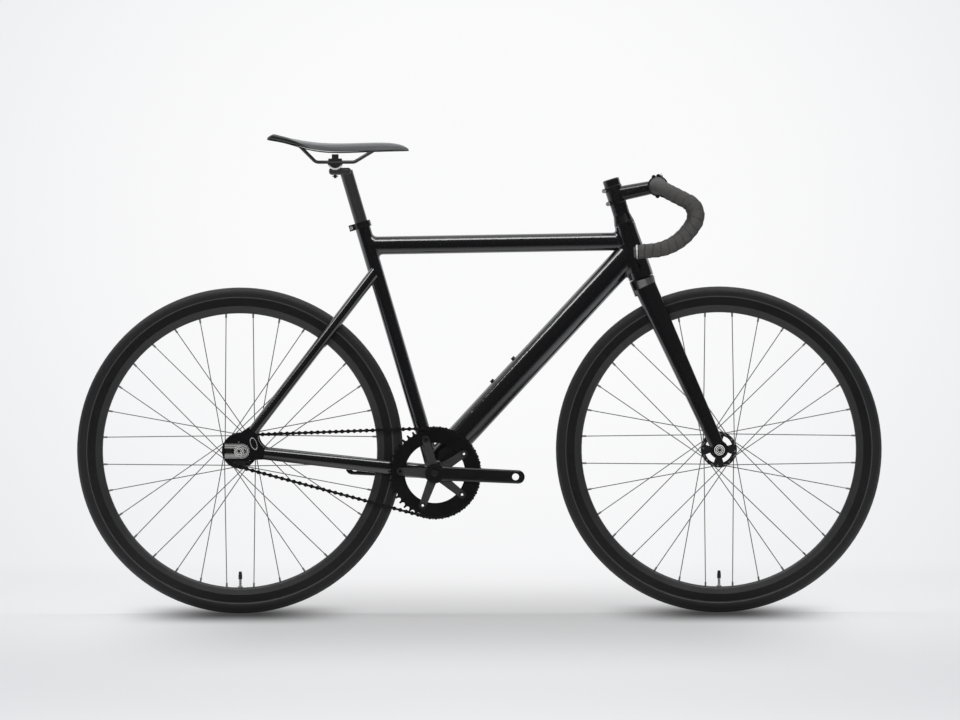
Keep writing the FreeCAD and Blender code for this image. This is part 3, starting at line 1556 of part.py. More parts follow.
def saddle_rails():
    half = rail_straight / 2
    points = [Vec(-half - rail_rear_run, -rail_rear_spread, rail_rear_rise), Vec(-half, -rail_spread, 0),
              Vec(half, -rail_spread, 0), Vec(half + rail_front_run, -rail_front_spread, rail_front_rise)]
    rail = shifted(swept(rounded_path(points, [rail_bend, rail_bend]), rail_diameter / 2), clamp_point)
    rail = largest(rail.cut([saddle_shell(), saddle_pad()]))
    return group([rail, mirrored(rail)])


# Every node and its shape
def wheel_nodes(name, axle_point, flange_spacing, hub_end, right_nose):
    shapes = {
        name + "_hub": hub(flange_spacing, right_nose, hub_end),
        name + "_hub_bearings": hub_bearings(hub_end),
        name + "_spokes": spokes(flange_spacing),
        name + "_rim": rim(flange_spacing),
        name + "_tyre": tyre(),
        name + "_inner_tube": inner_tube(),
    }
    return {node: shifted(shape, axle_point) for node, shape in shapes.items()}


def all_nodes():
    front_end = front_hub_width / 2
    rear_end = rear_hub_width / 2
    front_seat = front_locknut_width / 2 + fork_tip_thickness
    rear_seat = dropout_face + dropout_thickness + dropout_plate_thickness
    front_tip = fork_slot_width - 2 * hole_gap
    blade = fork_blade_right()
    right_dropout = dropout_right()
    wear_plate = dropout_plate_right()
    right_chainstay = chainstay_right()
    right_seatstay = seatstay_right()
    nodes = main_tubes()
    nodes.update(wheel_nodes("front", front_axle_point, front_flange_spacing, front_end, plain_nose))
    nodes.update(wheel_nodes("rear", rear_axle_point, rear_flange_spacing, rear_end, cog_nose))
    nodes.update({
        "chainstay_right": right_chainstay,
        "chainstay_left": mirrored(right_chainstay),
        "seatstay_right": right_seatstay,
        "seatstay_left": mirrored(right_seatstay),
        "dropouts": group([right_dropout, mirrored(right_dropout)]),
        "dropout_plates": group([wear_plate, mirrored(wear_plate)]),
        "seat_collar": seat_collar(),
        "seat_collar_bolt": seat_collar_bolt(),
        "bottle_bolts": bottle_bolts(),
        "bottom_bracket_bearings": bracket_bearings(),
        "headset_bearings": placed(headset_bearings(), steer_frame),
        "rear_axle": shifted(axle(rear_locknut_width, rear_end, axle_diameter, dropout_thickness),
                             rear_axle_point),
        "rear_axle_bolts": shifted(axle_bolts(rear_seat, rear_bolt_flange_diameter), rear_axle_point),
        "chain": chain(),
        "fork_steerer": placed(fork_steerer(), steer_frame),
        "fork_crown": placed(fork_crown(), steer_frame),
        "fork_blade_right": placed(blade, steer_frame),
        "fork_blade_left": placed(mirrored(blade), steer_frame),
        "headset_top_cover": placed(headset_top_cover(), steer_frame),
        "headset_spacers": placed(headset_spacers(), steer_frame),
        "stem": stem_body(),
        "stem_faceplate": stem_faceplate(),
        "stem_bolts": stem_bolts(),
        "top_cap": placed(top_cap(), steer_frame),
        "front_axle": shifted(axle(front_locknut_width, front_end, front_tip, fork_tip_thickness - end_gap),
                              front_axle_point),
        "front_axle_bolts": shifted(axle_bolts(front_seat, front_bolt_flange_diameter), front_axle_point),
        "handlebar": handlebar(),
        "bar_tape": bar_tape(),
        "bar_plugs": bar_plugs(),
        "rear_cog": shifted(rear_cog(), rear_axle_point),
        "cog_lockring": shifted(cog_lockring(), rear_axle_point),
        "crank_arm_right": placed(crank_arm(True), crank_frame(crank_angle)),
        "crank_arm_left": placed(mirrored(crank_arm(False)), crank_frame(crank_angle + 180)),
        "chainring": chainring(),
        "chainring_bolts": chainring_bolts(),
        "crank_spindle": crank_spindle(),
        "crank_bolts": crank_bolts(),
        "seatpost": seatpost(),
        "saddle_clamp_jaws": saddle_clamp_jaws(),
        "saddle_clamp_bolt": saddle_clamp_bolt(),
        "saddle_pad": saddle_pad(),
        "saddle_shell": saddle_shell(),
        "saddle_rails": saddle_rails(),
    })
    return nodes


os.makedirs("parts", exist_ok=True)
for node_name, node_shape in all_nodes().items():
    node_shape.exportStep("parts/" + node_name + ".step")
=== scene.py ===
import math
import bmesh
import bpy
from mathutils import Matrix, Vector
from mathutils.bvhtree import BVHTree


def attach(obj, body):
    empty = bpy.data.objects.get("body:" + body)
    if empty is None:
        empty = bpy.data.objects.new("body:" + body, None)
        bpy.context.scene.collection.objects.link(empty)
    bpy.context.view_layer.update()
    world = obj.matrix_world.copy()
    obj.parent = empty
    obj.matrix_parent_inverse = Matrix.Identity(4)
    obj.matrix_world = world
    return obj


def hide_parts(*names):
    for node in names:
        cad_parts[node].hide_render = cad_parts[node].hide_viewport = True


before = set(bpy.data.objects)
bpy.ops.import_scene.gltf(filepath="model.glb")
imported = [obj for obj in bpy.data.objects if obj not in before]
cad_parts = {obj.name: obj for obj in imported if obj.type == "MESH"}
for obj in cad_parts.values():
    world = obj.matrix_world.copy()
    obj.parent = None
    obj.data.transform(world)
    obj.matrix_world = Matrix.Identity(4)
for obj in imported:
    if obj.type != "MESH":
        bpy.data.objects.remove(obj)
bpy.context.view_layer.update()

# A black track bicycle in metres: +X forward, +Y to the rider's left, +Z up, drive side at -Y.

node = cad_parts
frontAxle = Vector((0.498, 0.0, 0.339))
rearAxle = Vector((-0.498, 0.0, 0.339))
barCentre = Vector((0.37222, 0.0, 0.88669))
clampPoint = Vector((-0.29843, 0.0, 0.93804))


# Shader tools
def newGroup(name, inputs, outputs):
    # A shader group whose sockets all carry plain numbers.
    tree = bpy.data.node_groups.new(name, "ShaderNodeTree")
    for label in inputs:
        tree.interface.new_socket(label, in_out="INPUT", socket_type="NodeSocketFloat")
    for label in outputs:
        tree.interface.new_socket(label, in_out="OUTPUT", socket_type="NodeSocketFloat")
    return tree, tree.nodes.new("NodeGroupInput"), tree.nodes.new("NodeGroupOutput")


def mathNode(tree, operation, first, second=None, third=None):
    made = tree.nodes.new("ShaderNodeMath")
    made.operation = operation
    for index, value in enumerate((first, second, third)):
        if value is None:
            continue
        if isinstance(value, (int, float)):
            made.inputs[index].default_value = value
        else:
            tree.links.new(value, made.inputs[index])
    return made.outputs[0]


def rampNode(tree, source, low, high, toLow=0.0, toHigh=1.0):
    made = tree.nodes.new("ShaderNodeMapRange")
    made.interpolation_type = "SMOOTHSTEP"
    tree.links.new(source, made.inputs["Value"])
    made.inputs["From Min"].default_value = low
    made.inputs["From Max"].default_value = high
    made.inputs["To Min"].default_value = toLow
    made.inputs["To Max"].default_value = toHigh
    return made.outputs["Result"]


def awayNode(tree, source, middle):
    # How far a value lies from a middle one, on either side.
    return mathNode(tree, "ABSOLUTE", mathNode(tree, "SUBTRACT", source, middle))


def distanceNode(tree, *sides):
    # The length of a line from its parts along square axes.
    total = None
    for side in sides:
        squared = mathNode(tree, "MULTIPLY", side, side)
        total = squared if total is None else mathNode(tree, "ADD", total, squared)
    return mathNode(tree, "SQRT", total)


def noiseNode(tree, vector, scale, detail):
    made = tree.nodes.new("ShaderNodeTexNoise")
    tree.links.new(vector, made.inputs["Vector"])
    tree.links.new(scale, made.inputs["Scale"])
    made.inputs["Detail"].default_value = detail
    made.inputs["Roughness"].default_value = 0.5
    return made.outputs["Fac"]


def mixColour(tree, factor, first, second):
    # Of the mix node's sockets, 6 and 7 take the two colours, and 2 gives the result.
    made = tree.nodes.new("ShaderNodeMix")
    made.data_type = "RGBA"
    tree.links.new(factor, made.inputs["Factor"])
    for slot, value in ((6, first), (7, second)):
        if isinstance(value, tuple):
            made.inputs[slot].default_value = (*value, 1.0)
        else:
            tree.links.new(value, made.inputs[slot])
    return made.outputs[2]


def objectPlace(tree):
    # X, Y and Z of the shaded point in the object's own coordinates.
    split = tree.nodes.new("ShaderNodeSeparateXYZ")
    tree.links.new(tree.nodes.new("ShaderNodeTexCoord").outputs["Object"], split.inputs[0])
    return split.outputs


def makeGrainGroup():
    # Fine and broad unevenness for any finish: a height for bump and a 0 to 1 mottle.
    tree, inside, outside = newGroup("finishGrain", ("Fine Scale", "Broad Scale"), ("Height", "Mottle"))
    place = tree.nodes.new("ShaderNodeTexCoord").outputs["Object"]
    fine = noiseNode(tree, place, inside.outputs["Fine Scale"], 2.0)
    broad = noiseNode(tree, place, inside.outputs["Broad Scale"], 4.0)
    tree.links.new(fine, outside.inputs["Height"])
    tree.links.new(broad, outside.inputs["Mottle"])
    return tree


def makeWheelGroup():
    # Distance from an axle that runs along Y, for rings of finish on tyres, rims, valves, bolts and jaws.
    tree, inside, outside = newGroup("wheelPlace", ("Axle X", "Axle Z"), ("Radius",))
    place = objectPlace(tree)
    alongX = mathNode(tree, "SUBTRACT", place["X"], inside.outputs["Axle X"])
    alongZ = mathNode(tree, "SUBTRACT", place["Z"], inside.outputs["Axle Z"])
    tree.links.new(distanceNode(tree, alongX, alongZ), outside.inputs["Radius"])
    return tree


grainGroup = makeGrainGroup()
wheelGroup = makeWheelGroup()
# Roughness drifts over this middle part of the mottle.
mottleSpan = (0.25, 0.75)


class Finish:
    # One material with its Principled shader at hand.
    def __init__(self, name, **sockets):
        self.material = bpy.data.materials.new(name)
        self.material.use_nodes = True
        self.tree = self.material.node_tree
        self.shader = self.tree.nodes["Principled BSDF"]
        for label, value in sockets.items():
            self.shader.inputs[label.replace("_", " ")].default_value = value

    def feed(self, source, label):
        self.tree.links.new(source, self.shader.inputs[label])

    def place(self, group, **values):
        made = self.tree.nodes.new("ShaderNodeGroup")
        made.node_tree = group
        for label, value in values.items():
            made.inputs[label.replace("_", " ")].default_value = value
        return made.outputs

    def grain(self, look):
        return self.place(grainGroup, Fine_Scale=look["fine"], Broad_Scale=look["broad"])

    def bump(self, height, look):
        made = self.tree.nodes.new("ShaderNodeBump")
        made.inputs["Strength"].default_value = look["strength"]
        made.inputs["Distance"].default_value = look["depth"]
        self.tree.links.new(height, made.inputs["Height"])
        self.feed(made.outputs["Normal"], "Normal")

    def roughen(self, grain, look):
        self.feed(rampNode(self.tree, grain["Mottle"], *mottleSpan, *look["rough"]), "Roughness")

    def grainy(self, look):
        # Colour drift, roughness drift and a fine bump, all from one grain group.
        grain = self.grain(look)
        self.feed(mixColour(self.tree, grain["Mottle"], look["dark"], look["light"]), "Base Color")
        self.roughen(grain, look)
        self.bump(grain["Height"], look)
        return self


def plainFinish(name, look):
    return Finish(name, **look.get("sockets", {})).grainy(look).material


# Plain finishes: grain scales, range of roughness, bump, the two tones, and other shader settings
finishLooks = {
    "framePaint": {
        "fine": 260.0, "broad": 7.0, "rough": (0.24, 0.30), "strength": 0.012, "depth": 0.0002,
        "dark": (0.0016, 0.0016, 0.0022), "light": (0.0030, 0.0030, 0.0038),
        "sockets": {"Coat_Weight": 1.0, "Coat_Roughness": 0.035, "Coat_IOR": 1.9,
                    "Specular_IOR_Level": 0.25}},
    "crownPaint": {
        "fine": 260.0, "broad": 7.0, "rough": (0.34, 0.40), "strength": 0.012, "depth": 0.0002,
        "dark": (0.0016, 0.0016, 0.0022), "light": (0.0030, 0.0030, 0.0038),
        "sockets": {"Coat_Weight": 0.5, "Coat_Roughness": 0.30, "Coat_IOR": 1.6,
                    "Specular_IOR_Level": 0.25}},
    "glossAlloy": {
        "fine": 2600.0, "broad": 25.0, "rough": (0.24, 0.30), "strength": 0.06, "depth": 0.0002,
        "dark": (0.0040, 0.0040, 0.0046), "light": (0.0065, 0.0065, 0.0072),
        "sockets": {"Coat_Weight": 0.6, "Coat_Roughness": 0.12}},
    "satinBlack": {
        "fine": 2600.0, "broad": 25.0, "rough": (0.34, 0.44), "strength": 0.15, "depth": 0.0002,
        "dark": (0.0070, 0.0070, 0.0078), "light": (0.011, 0.011, 0.012)},
    "ringBlack": {
        "fine": 2400.0, "broad": 30.0, "rough": (0.28, 0.36), "strength": 0.10, "depth": 0.0002,
        "dark": (0.0020, 0.0020, 0.0024), "light": (0.0036, 0.0036, 0.0040)},
    "postGrey": {
        "fine": 2200.0, "broad": 16.0, "rough": (0.30, 0.38), "strength": 0.12, "depth": 0.0002,
        "dark": (0.024, 0.024, 0.024), "light": (0.040, 0.040, 0.040),
        "sockets": {"Metallic": 0.25, "Coat_Weight": 0.7, "Coat_Roughness": 0.18}},
    "darkSteel": {
        "fine": 1800.0, "broad": 70.0, "rough": (0.26, 0.38), "strength": 0.10, "depth": 0.0002,
        "dark": (0.020, 0.020, 0.021), "light": (0.045, 0.045, 0.046), "sockets": {"Metallic": 0.6}},
    "silverSteel": {
        "fine": 1500.0, "broad": 60.0, "rough": (0.24, 0.34), "strength": 0.10, "depth": 0.0002,
        "dark": (0.36, 0.36, 0.36), "light": (0.48, 0.48, 0.47), "sockets": {"Metallic": 0.6}},
    "spokeSteel": {
        "fine": 900.0, "broad": 40.0, "rough": (0.30, 0.38), "strength": 0.05, "depth": 0.0001,
        "dark": (0.12, 0.12, 0.12), "light": (0.19, 0.19, 0.19), "sockets": {"Metallic": 0.3}},
    "chainSteel": {
        "fine": 1200.0, "broad": 90.0, "rough": (0.30, 0.46), "strength": 0.12, "depth": 0.0002,
        "dark": (0.0040, 0.0040, 0.0040), "light": (0.012, 0.012, 0.012), "sockets": {"Metallic": 0.3}},
    "railSteel": {
        "fine": 900.0, "broad": 30.0, "rough": (0.14, 0.22), "strength": 0.04, "depth": 0.0001,
        "dark": (0.050, 0.050, 0.053), "light": (0.085, 0.085, 0.088),
        "sockets": {"Metallic": 0.7, "Coat_Weight": 0.5}},
    "blackPlastic": {
        "fine": 1600.0, "broad": 30.0, "rough": (0.42, 0.55), "strength": 0.25, "depth": 0.0003,
        "dark": (0.008, 0.008, 0.008), "light": (0.014, 0.014, 0.014)},
}
finishes = {name: plainFinish(name, look) for name, look in finishLooks.items()}
print("finishes made:", len(finishes))


def makeTyreFinish(name, axle):
    # A lighter worn tread band, darker sidewalls, a pale seam line and a fine grain.
    look = {"fine": 1400.0, "broad": 35.0, "rough": (0.48, 0.62), "strength": 0.30, "depth": 0.0004,
            "tread": (0.024, 0.024, 0.025), "wall": (0.014, 0.014, 0.015),
            "treadFrom": 0.3315, "treadTo": 0.3345,
            "seam": 0.3185, "seamWidth": 0.0014, "seamTone": (0.060, 0.060, 0.060)}
    made = Finish(name, Specular_IOR_Level=0.3)
    tree = made.tree
    wheel = made.place(wheelGroup, Axle_X=axle.x, Axle_Z=axle.z)
    grain = made.grain(look)
    band = rampNode(tree, wheel["Radius"], look["treadFrom"], look["treadTo"])
    colour = mixColour(tree, band, look["wall"], look["tread"])
    seam = rampNode(tree, awayNode(tree, wheel["Radius"], look["seam"]), 0.0, look["seamWidth"], 1.0, 0.0)
    made.feed(mixColour(tree, seam, colour, look["seamTone"]), "Base Color")
    made.roughen(grain, look)
    made.bump(grain["Height"], look)
    return made.material


def makeRimFinish(name, axle):
    # Satin dark grey, with a blacker and faintly turned band along the outer flank.
    look = {"fine": 2200.0, "broad": 20.0, "rough": (0.34, 0.44), "strength": 0.12, "depth": 0.0002,
            "body": (0.024, 0.024, 0.025), "band": (0.0065, 0.0065, 0.0070),
            "bandFrom": 0.3000, "bandTo": 0.3008, "rings": 4200.0, "ringHeight": 0.3}
    made = Finish(name)
    tree = made.tree
    wheel = made.place(wheelGroup, Axle_X=axle.x, Axle_Z=axle.z)
    grain = made.grain(look)
    band = rampNode(tree, wheel["Radius"], look["bandFrom"], look["bandTo"])
    made.feed(mixColour(tree, band, look["body"], look["band"]), "Base Color")
    turned = mathNode(tree, "SINE", mathNode(tree, "MULTIPLY", wheel["Radius"], look["rings"]))
    made.roughen(grain, look)
    ringed = mathNode(tree, "MULTIPLY", mathNode(tree, "MULTIPLY", turned, band), look["ringHeight"])
    made.bump(mathNode(tree, "ADD", ringed, grain["Height"]), look)
    return made.material


def makeValveFinish(name, axle):
    # Rubber outside, a bright stem below the rim and a black cap on its end.
    look = {"fine": 1500.0, "broad": 50.0, "strength": 0.1, "depth": 0.0002,
            "rubber": (0.02, 0.02, 0.02), "stem": (0.60, 0.60, 0.59), "cap": (0.012, 0.012, 0.012),
            "capEnd": 0.2680, "stemEnd": 0.2860, "rough": (0.5, 0.25)}
    made = Finish(name)
    tree = made.tree
    wheel = made.place(wheelGroup, Axle_X=axle.x, Axle_Z=axle.z)
    grain = made.grain(look)
    pastCap = mathNode(tree, "GREATER_THAN", wheel["Radius"], look["capEnd"])
    pastStem = mathNode(tree, "GREATER_THAN", wheel["Radius"], look["stemEnd"])
    bright = mathNode(tree, "SUBTRACT", pastCap, pastStem)
    base = mixColour(tree, pastStem, look["cap"], look["rubber"])
    made.feed(mixColour(tree, bright, base, look["stem"]), "Base Color")
    made.feed(bright, "Metallic")
    made.feed(rampNode(tree, bright, 0.0, 1.0, *look["rough"]), "Roughness")
    made.bump(grain["Height"], look)
    return made.material


def makeTapeFinish():
    # Cork-rubber bar tape: dark grey, dull and finely pored, with painted shade making it blacker in the
    # grooves of the winding.
    look = {"fine": 700.0, "broad": 120.0, "rough": (0.60, 0.78), "strength": 0.45, "depth": 0.0006,
            "dark": (0.042, 0.041, 0.040), "light": (0.074, 0.072, 0.070),
            "grooveShade": (0.014, 0.014, 0.014)}
    made = Finish("barTape", Specular_IOR_Level=0.3)
    tree = made.tree
    grain = made.grain(look)
    wound = tree.nodes.new("ShaderNodeAttribute")
    wound.attribute_name = "grooveShade"
    strip = mixColour(tree, grain["Mottle"], look["dark"], look["light"])
    # Painted shade: the grooves of the winding get a blacker colour.
    made.feed(mixColour(tree, wound.outputs["Fac"], strip, look["grooveShade"]), "Base Color")
    made.roughen(grain, look)
    made.bump(grain["Height"], look)
    return made.material


def makeSaddleFinish():
    # Synthetic leather with a close pebble grain and a soft sheen, and a dull dark panel at the rear; ahead
    # of the panel the cover's grey is partly painted sheen, lighter than the leather's own black.
    look = {"fine": 1500.0, "broad": 30.0, "rough": (0.36, 0.46), "strength": 0.25, "depth": 0.0004,
            "dark": (0.095, 0.097, 0.101), "light": (0.125, 0.128, 0.133), "pebble": 620.0,
            "panel": (0.010, 0.010, 0.010), "panelFrom": 0.006, "panelTo": 0.016, "panelLean": 2.15,
            "shine": (0.5, 0.12), "sheen": (0.12, 0.0), "grainHeight": 0.3}
    made = Finish("saddleCover", Sheen_Roughness=0.4)
    tree = made.tree
    grain = made.grain(look)
    cells = tree.nodes.new("ShaderNodeTexVoronoi")
    cells.inputs["Scale"].default_value = look["pebble"]
    tree.links.new(tree.nodes.new("ShaderNodeTexCoord").outputs["Object"], cells.inputs["Vector"])
    place = objectPlace(tree)
    above = mathNode(tree, "SUBTRACT", place["Z"], clampPoint.z)
    ahead = mathNode(tree, "SUBTRACT", place["X"], clampPoint.x)
    along = mathNode(tree, "ADD", ahead, mathNode(tree, "MULTIPLY", above, look["panelLean"]))
    # Painted sheen: the cover gets a grey lighter than its black leather, while the rear panel keeps the
    # black.
    paintedSheenCover = mixColour(tree, grain["Mottle"], look["dark"], look["light"])
    rear = rampNode(tree, along, look["panelFrom"], look["panelTo"], 1.0, 0.0)
    made.feed(mixColour(tree, rear, paintedSheenCover, look["panel"]), "Base Color")
    made.feed(rampNode(tree, rear, 0.0, 1.0, *look["shine"]), "Specular IOR Level")
    made.feed(rampNode(tree, rear, 0.0, 1.0, *look["sheen"]), "Sheen Weight")
    made.roughen(grain, look)
    fine = mathNode(tree, "MULTIPLY", grain["Height"], look["grainHeight"])
    made.bump(mathNode(tree, "ADD", cells.outputs["Distance"], fine), look)
    return made.material


def makeBoltFinish(name, axle):
    # A turned steel bolt: a socket painted dark as its shade, then bright and dark rings out to the flange,
    # painted highlight and shade of its turned grooves.
    look = {"fine": 1500.0, "broad": 60.0, "rough": (0.26, 0.36), "strength": 0.3, "depth": 0.0004,
            "bright": (0.80, 0.80, 0.78), "dark": (0.030, 0.030, 0.030), "socket": 0.0036,
            "ringStep": 0.0032, "ringPhase": 0.6, "ringEdge": (-0.2, 0.7)}
    made = Finish(name, Metallic=0.15)
    tree = made.tree
    wheel = made.place(wheelGroup, Axle_X=axle.x, Axle_Z=axle.z)
    grain = made.grain(look)
    # Painted highlight and shade: bright and dark colour rings stand for light on the turned grooves, and
    # the socket is painted dark.
    turns = mathNode(tree, "MULTIPLY_ADD", wheel["Radius"], 2 * math.pi / look["ringStep"],
                     look["ringPhase"])
    rings = rampNode(tree, mathNode(tree, "SINE", turns), *look["ringEdge"])
    outside = mathNode(tree, "GREATER_THAN", wheel["Radius"], look["socket"])
    tone = mathNode(tree, "MULTIPLY", rings, outside)
    made.feed(mixColour(tree, tone, look["dark"], look["bright"]), "Base Color")
    made.roughen(grain, look)
    made.bump(tone, look)
    return made.material


def makePlateFinish():
    # Brushed steel with fine lines that follow the round-ended outline of the plate.
    look = {"fine": 1500.0, "broad": 80.0, "rough": (0.28, 0.40), "strength": 0.2, "depth": 0.0003,
            "bright": (0.44, 0.44, 0.43), "dark": (0.10, 0.10, 0.10), "nose": rearAxle.x + 0.006,
            "lineStep": 0.0036, "lineEdge": (-0.6, 0.4)}
    made = Finish("wearPlate", Metallic=0.35)
    tree = made.tree
    place = objectPlace(tree)
    ahead = mathNode(tree, "MAXIMUM", mathNode(tree, "SUBTRACT", place["X"], look["nose"]), 0.0)
    rise = mathNode(tree, "SUBTRACT", place["Z"], rearAxle.z)
    turns = mathNode(tree, "MULTIPLY", distanceNode(tree, ahead, rise), 2 * math.pi / look["lineStep"])
    grain = made.grain(look)
    tone = rampNode(tree, mathNode(tree, "SINE", turns), *look["lineEdge"])
    made.feed(mixColour(tree, tone, look["dark"], look["bright"]), "Base Color")
    made.roughen(grain, look)
    made.bump(tone, look)
    return made.material


def makeEndFinish():
    # Frame paint, with a painted highlight along the edge of the shallow lobe ahead of the axle, and one
    # small dot.
    look = {"fine": 260.0, "broad": 7.0, "rough": (0.24, 0.30), "strength": 0.2, "depth": 0.0004,
            "paint": (0.0022, 0.0022, 0.0028), "edge": (0.34, 0.34, 0.34),
            "lobe": (0.030, 0.0155), "half": (0.0062, 0.0125), "lean": math.radians(20), "band": 0.16,
            "dot": (-0.001, 0.0188), "dotRadius": 0.0021, "dotTone": (0.07, 0.07, 0.07)}
    made = Finish("trackEnd", **finishLooks["framePaint"]["sockets"])
    tree = made.tree
    place = objectPlace(tree)
    grain = made.grain(look)

    def offset(spot):
        return (mathNode(tree, "SUBTRACT", place["X"], rearAxle.x + spot[0]),
                mathNode(tree, "SUBTRACT", place["Z"], rearAxle.z + spot[1]))

    ahead, above = offset(look["lobe"])
    cosine = math.cos(look["lean"])
    sine = math.sin(look["lean"])
    wide = mathNode(tree, "ADD", mathNode(tree, "MULTIPLY", ahead, cosine),
                    mathNode(tree, "MULTIPLY", above, sine))
    tall = mathNode(tree, "SUBTRACT", mathNode(tree, "MULTIPLY", above, cosine),
                    mathNode(tree, "MULTIPLY", ahead, sine))
    share = distanceNode(tree, mathNode(tree, "DIVIDE", wide, look["half"][0]),
                         mathNode(tree, "DIVIDE", tall, look["half"][1]))
    # Painted highlight: a bright colour along the edge of the lobe.
    edge = rampNode(tree, awayNode(tree, share, 1.0), 0.0, look["band"], 1.0, 0.0)
    dot = mathNode(tree, "LESS_THAN", distanceNode(tree, *offset(look["dot"])), look["dotRadius"])
    dressed = mixColour(tree, dot, look["paint"], look["dotTone"])
    made.feed(mixColour(tree, edge, dressed, look["edge"]), "Base Color")
    made.roughen(grain, look)
    made.bump(edge, look)
    return made.material


def makeCrankFinish():
    # Gloss black arms, with a dark grey spider behind the right one.
    look = {"fine": 1800.0, "broad": 18.0, "rough": (0.28, 0.38), "strength": 0.10, "depth": 0.0002,
            "arm": (0.0045, 0.0045, 0.0050), "spider": (0.030, 0.030, 0.031),
            "armTo": -0.0535, "spiderFrom": -0.0520}
    made = Finish("crankBlack", Coat_Weight=0.4, Coat_Roughness=0.12)
    tree = made.tree
    place = objectPlace(tree)
    grain = made.grain(look)
    depth = mathNode(tree, "MULTIPLY", mathNode(tree, "ABSOLUTE", place["Y"]), -1.0)
    spider = rampNode(tree, depth, look["armTo"], look["spiderFrom"])
    made.feed(mixColour(tree, spider, look["arm"], look["spider"]), "Base Color")
    made.roughen(grain, look)
    made.bump(grain["Height"], look)
    return made.material


def makePlugFinish():
    # Black plugs with a bright rim at the very end.
    look = {"fine": 1600.0, "broad": 30.0, "rough": (0.25, 0.35), "strength": 0.15, "depth": 0.0002,
            "body": (0.010, 0.010, 0.010), "rim": (0.62, 0.62, 0.60), "rimFrom": 0.3262, "rimTo": 0.3266}
    made = Finish("barPlug")
    tree = made.tree
    place = objectPlace(tree)
    grain = made.grain(look)
    body = rampNode(tree, place["X"], look["rimFrom"], look["rimTo"])
    made.feed(mixColour(tree, body, look["rim"], look["body"]), "Base Color")
    made.roughen(grain, look)
    made.bump(grain["Height"], look)
    return made.material


def makeJawFinish():
    # Black jaws with a bright edge round the underside and a pale line where the two meet.
    look = {"fine": 1800.0, "broad": 40.0, "rough": (0.28, 0.38), "strength": 0.12, "depth": 0.0002,
            "body": (0.020, 0.020, 0.021), "edge": (0.62, 0.62, 0.62),
            "edgeFrom": 0.0122, "edgeTo": 0.0130, "edgeBelow": 0.0060, "seam": 0.0009, "seamShare": 0.6}
    made = Finish("clampJaw", Metallic=0.3)
    tree = made.tree
    wheel = made.place(wheelGroup, Axle_X=clampPoint.x, Axle_Z=clampPoint.z)
    place = objectPlace(tree)
    grain = made.grain(look)
    below = mathNode(tree, "LESS_THAN", place["Z"], clampPoint.z - look["edgeBelow"])
    ring = rampNode(tree, wheel["Radius"], look["edgeFrom"], look["edgeTo"])
    level = awayNode(tree, place["Z"], clampPoint.z)
    seam = rampNode(tree, level, 0.0, look["seam"], look["seamShare"], 0.0)
    edge = mathNode(tree, "MAXIMUM", mathNode(tree, "MULTIPLY", below, ring), seam)
    made.feed(mixColour(tree, edge, look["body"], look["edge"]), "Base Color")
    made.roughen(grain, look)
    made.bump(grain["Height"], look)
    return made.material


wheelAxles = {"front": frontAxle, "rear": rearAxle}
for side, axle in wheelAxles.items():
    finishes[side + "Tyre"] = makeTyreFinish(side + "Tyre", axle)
    finishes[side + "Rim"] = makeRimFinish(side + "Rim", axle)
    finishes[side + "Valve"] = makeValveFinish(side + "Valve", axle)
    finishes[side + "Bolt"] = makeBoltFinish(side + "Bolt", axle)
finishes["wearPlate"] = makePlateFinish()
finishes["crankBlack"] = makeCrankFinish()
finishes["trackEnd"] = makeEndFinish()
finishes["barPlug"] = makePlugFinish()
finishes["clampJaw"] = makeJawFinish()
finishes["barTape"] = makeTapeFinish()
finishes["saddleCover"] = makeSaddleFinish()

nodeFinish = {
    "framePaint": ["head_tube", "top_tube", "down_tube", "seat_tube", "bottom_bracket_shell",
                   "chainstay_right", "chainstay_left", "seatstay_right", "seatstay_left",
                   "fork_blade_right", "fork_blade_left"],
    "crownPaint": ["fork_crown"],
    "trackEnd": ["dropouts"],
    "glossAlloy": ["seat_collar", "headset_top_cover", "headset_spacers", "stem", "stem_faceplate",
                   "top_cap"],
    "satinBlack": ["fork_steerer", "handlebar", "front_hub", "rear_hub"],
    "ringBlack": ["chainring"],
    "postGrey": ["seatpost"],
    "clampJaw": ["saddle_clamp_jaws"],
    "crankBlack": ["crank_arm_right", "crank_arm_left"],
    "wearPlate": ["dropout_plates"],
    "frontBolt": ["front_axle_bolts"], "rearBolt": ["rear_axle_bolts"],
    "silverSteel": ["rear_axle", "front_axle", "crank_spindle", "stem_bolts", "seat_collar_bolt"],
    "darkSteel": ["rear_cog", "cog_lockring", "bottle_bolts", "saddle_clamp_bolt", "crank_bolts",
                  "chainring_bolts", "bottom_bracket_bearings", "headset_bearings",
                  "front_hub_bearings", "rear_hub_bearings"],
    "spokeSteel": ["front_spokes", "rear_spokes"],
    "chainSteel": ["chain"],
    "railSteel": ["saddle_rails"],
    "blackPlastic": ["saddle_shell"],
    "barPlug": ["bar_plugs"],
    "frontTyre": ["front_tyre"], "rearTyre": ["rear_tyre"],
    "frontRim": ["front_rim"], "rearRim": ["rear_rim"],
    "frontValve": ["front_inner_tube"], "rearValve": ["rear_inner_tube"],
}
for finish, names in nodeFinish.items():
    for name in names:
        for slot in node[name].material_slots:
            slot.material = finishes[finish]
print("finishes given to", sum(len(names) for names in nodeFinish.values()), "parts")


# Objects and meshes
def newObject(name, data):
    # A new object for a mesh, a curve, a lamp or a camera, linked into the scene.
    made = bpy.data.objects.new(name, data)
    bpy.context.scene.collection.objects.link(made)
    return made


def smoothObject(name, mesh, finish):
    for face in mesh.polygons:
        face.use_smooth = True
    mesh.materials.append(finish)
    return newObject(name, mesh)


def bmeshObject(name, made, finish):
    bmesh.ops.recalc_face_normals(made, faces=made.faces)
    mesh = bpy.data.meshes.new(name)
    made.to_mesh(mesh)
    made.free()
    return smoothObject(name, mesh, finish)


def bridgeLoops(made, first, second):
    # Four-sided faces between two closed loops with the same number of corners.
    count = len(first)
    for index in range(count):
        after = (index + 1) % count
        made.faces.new((first[index], first[after], second[after], second[index]))


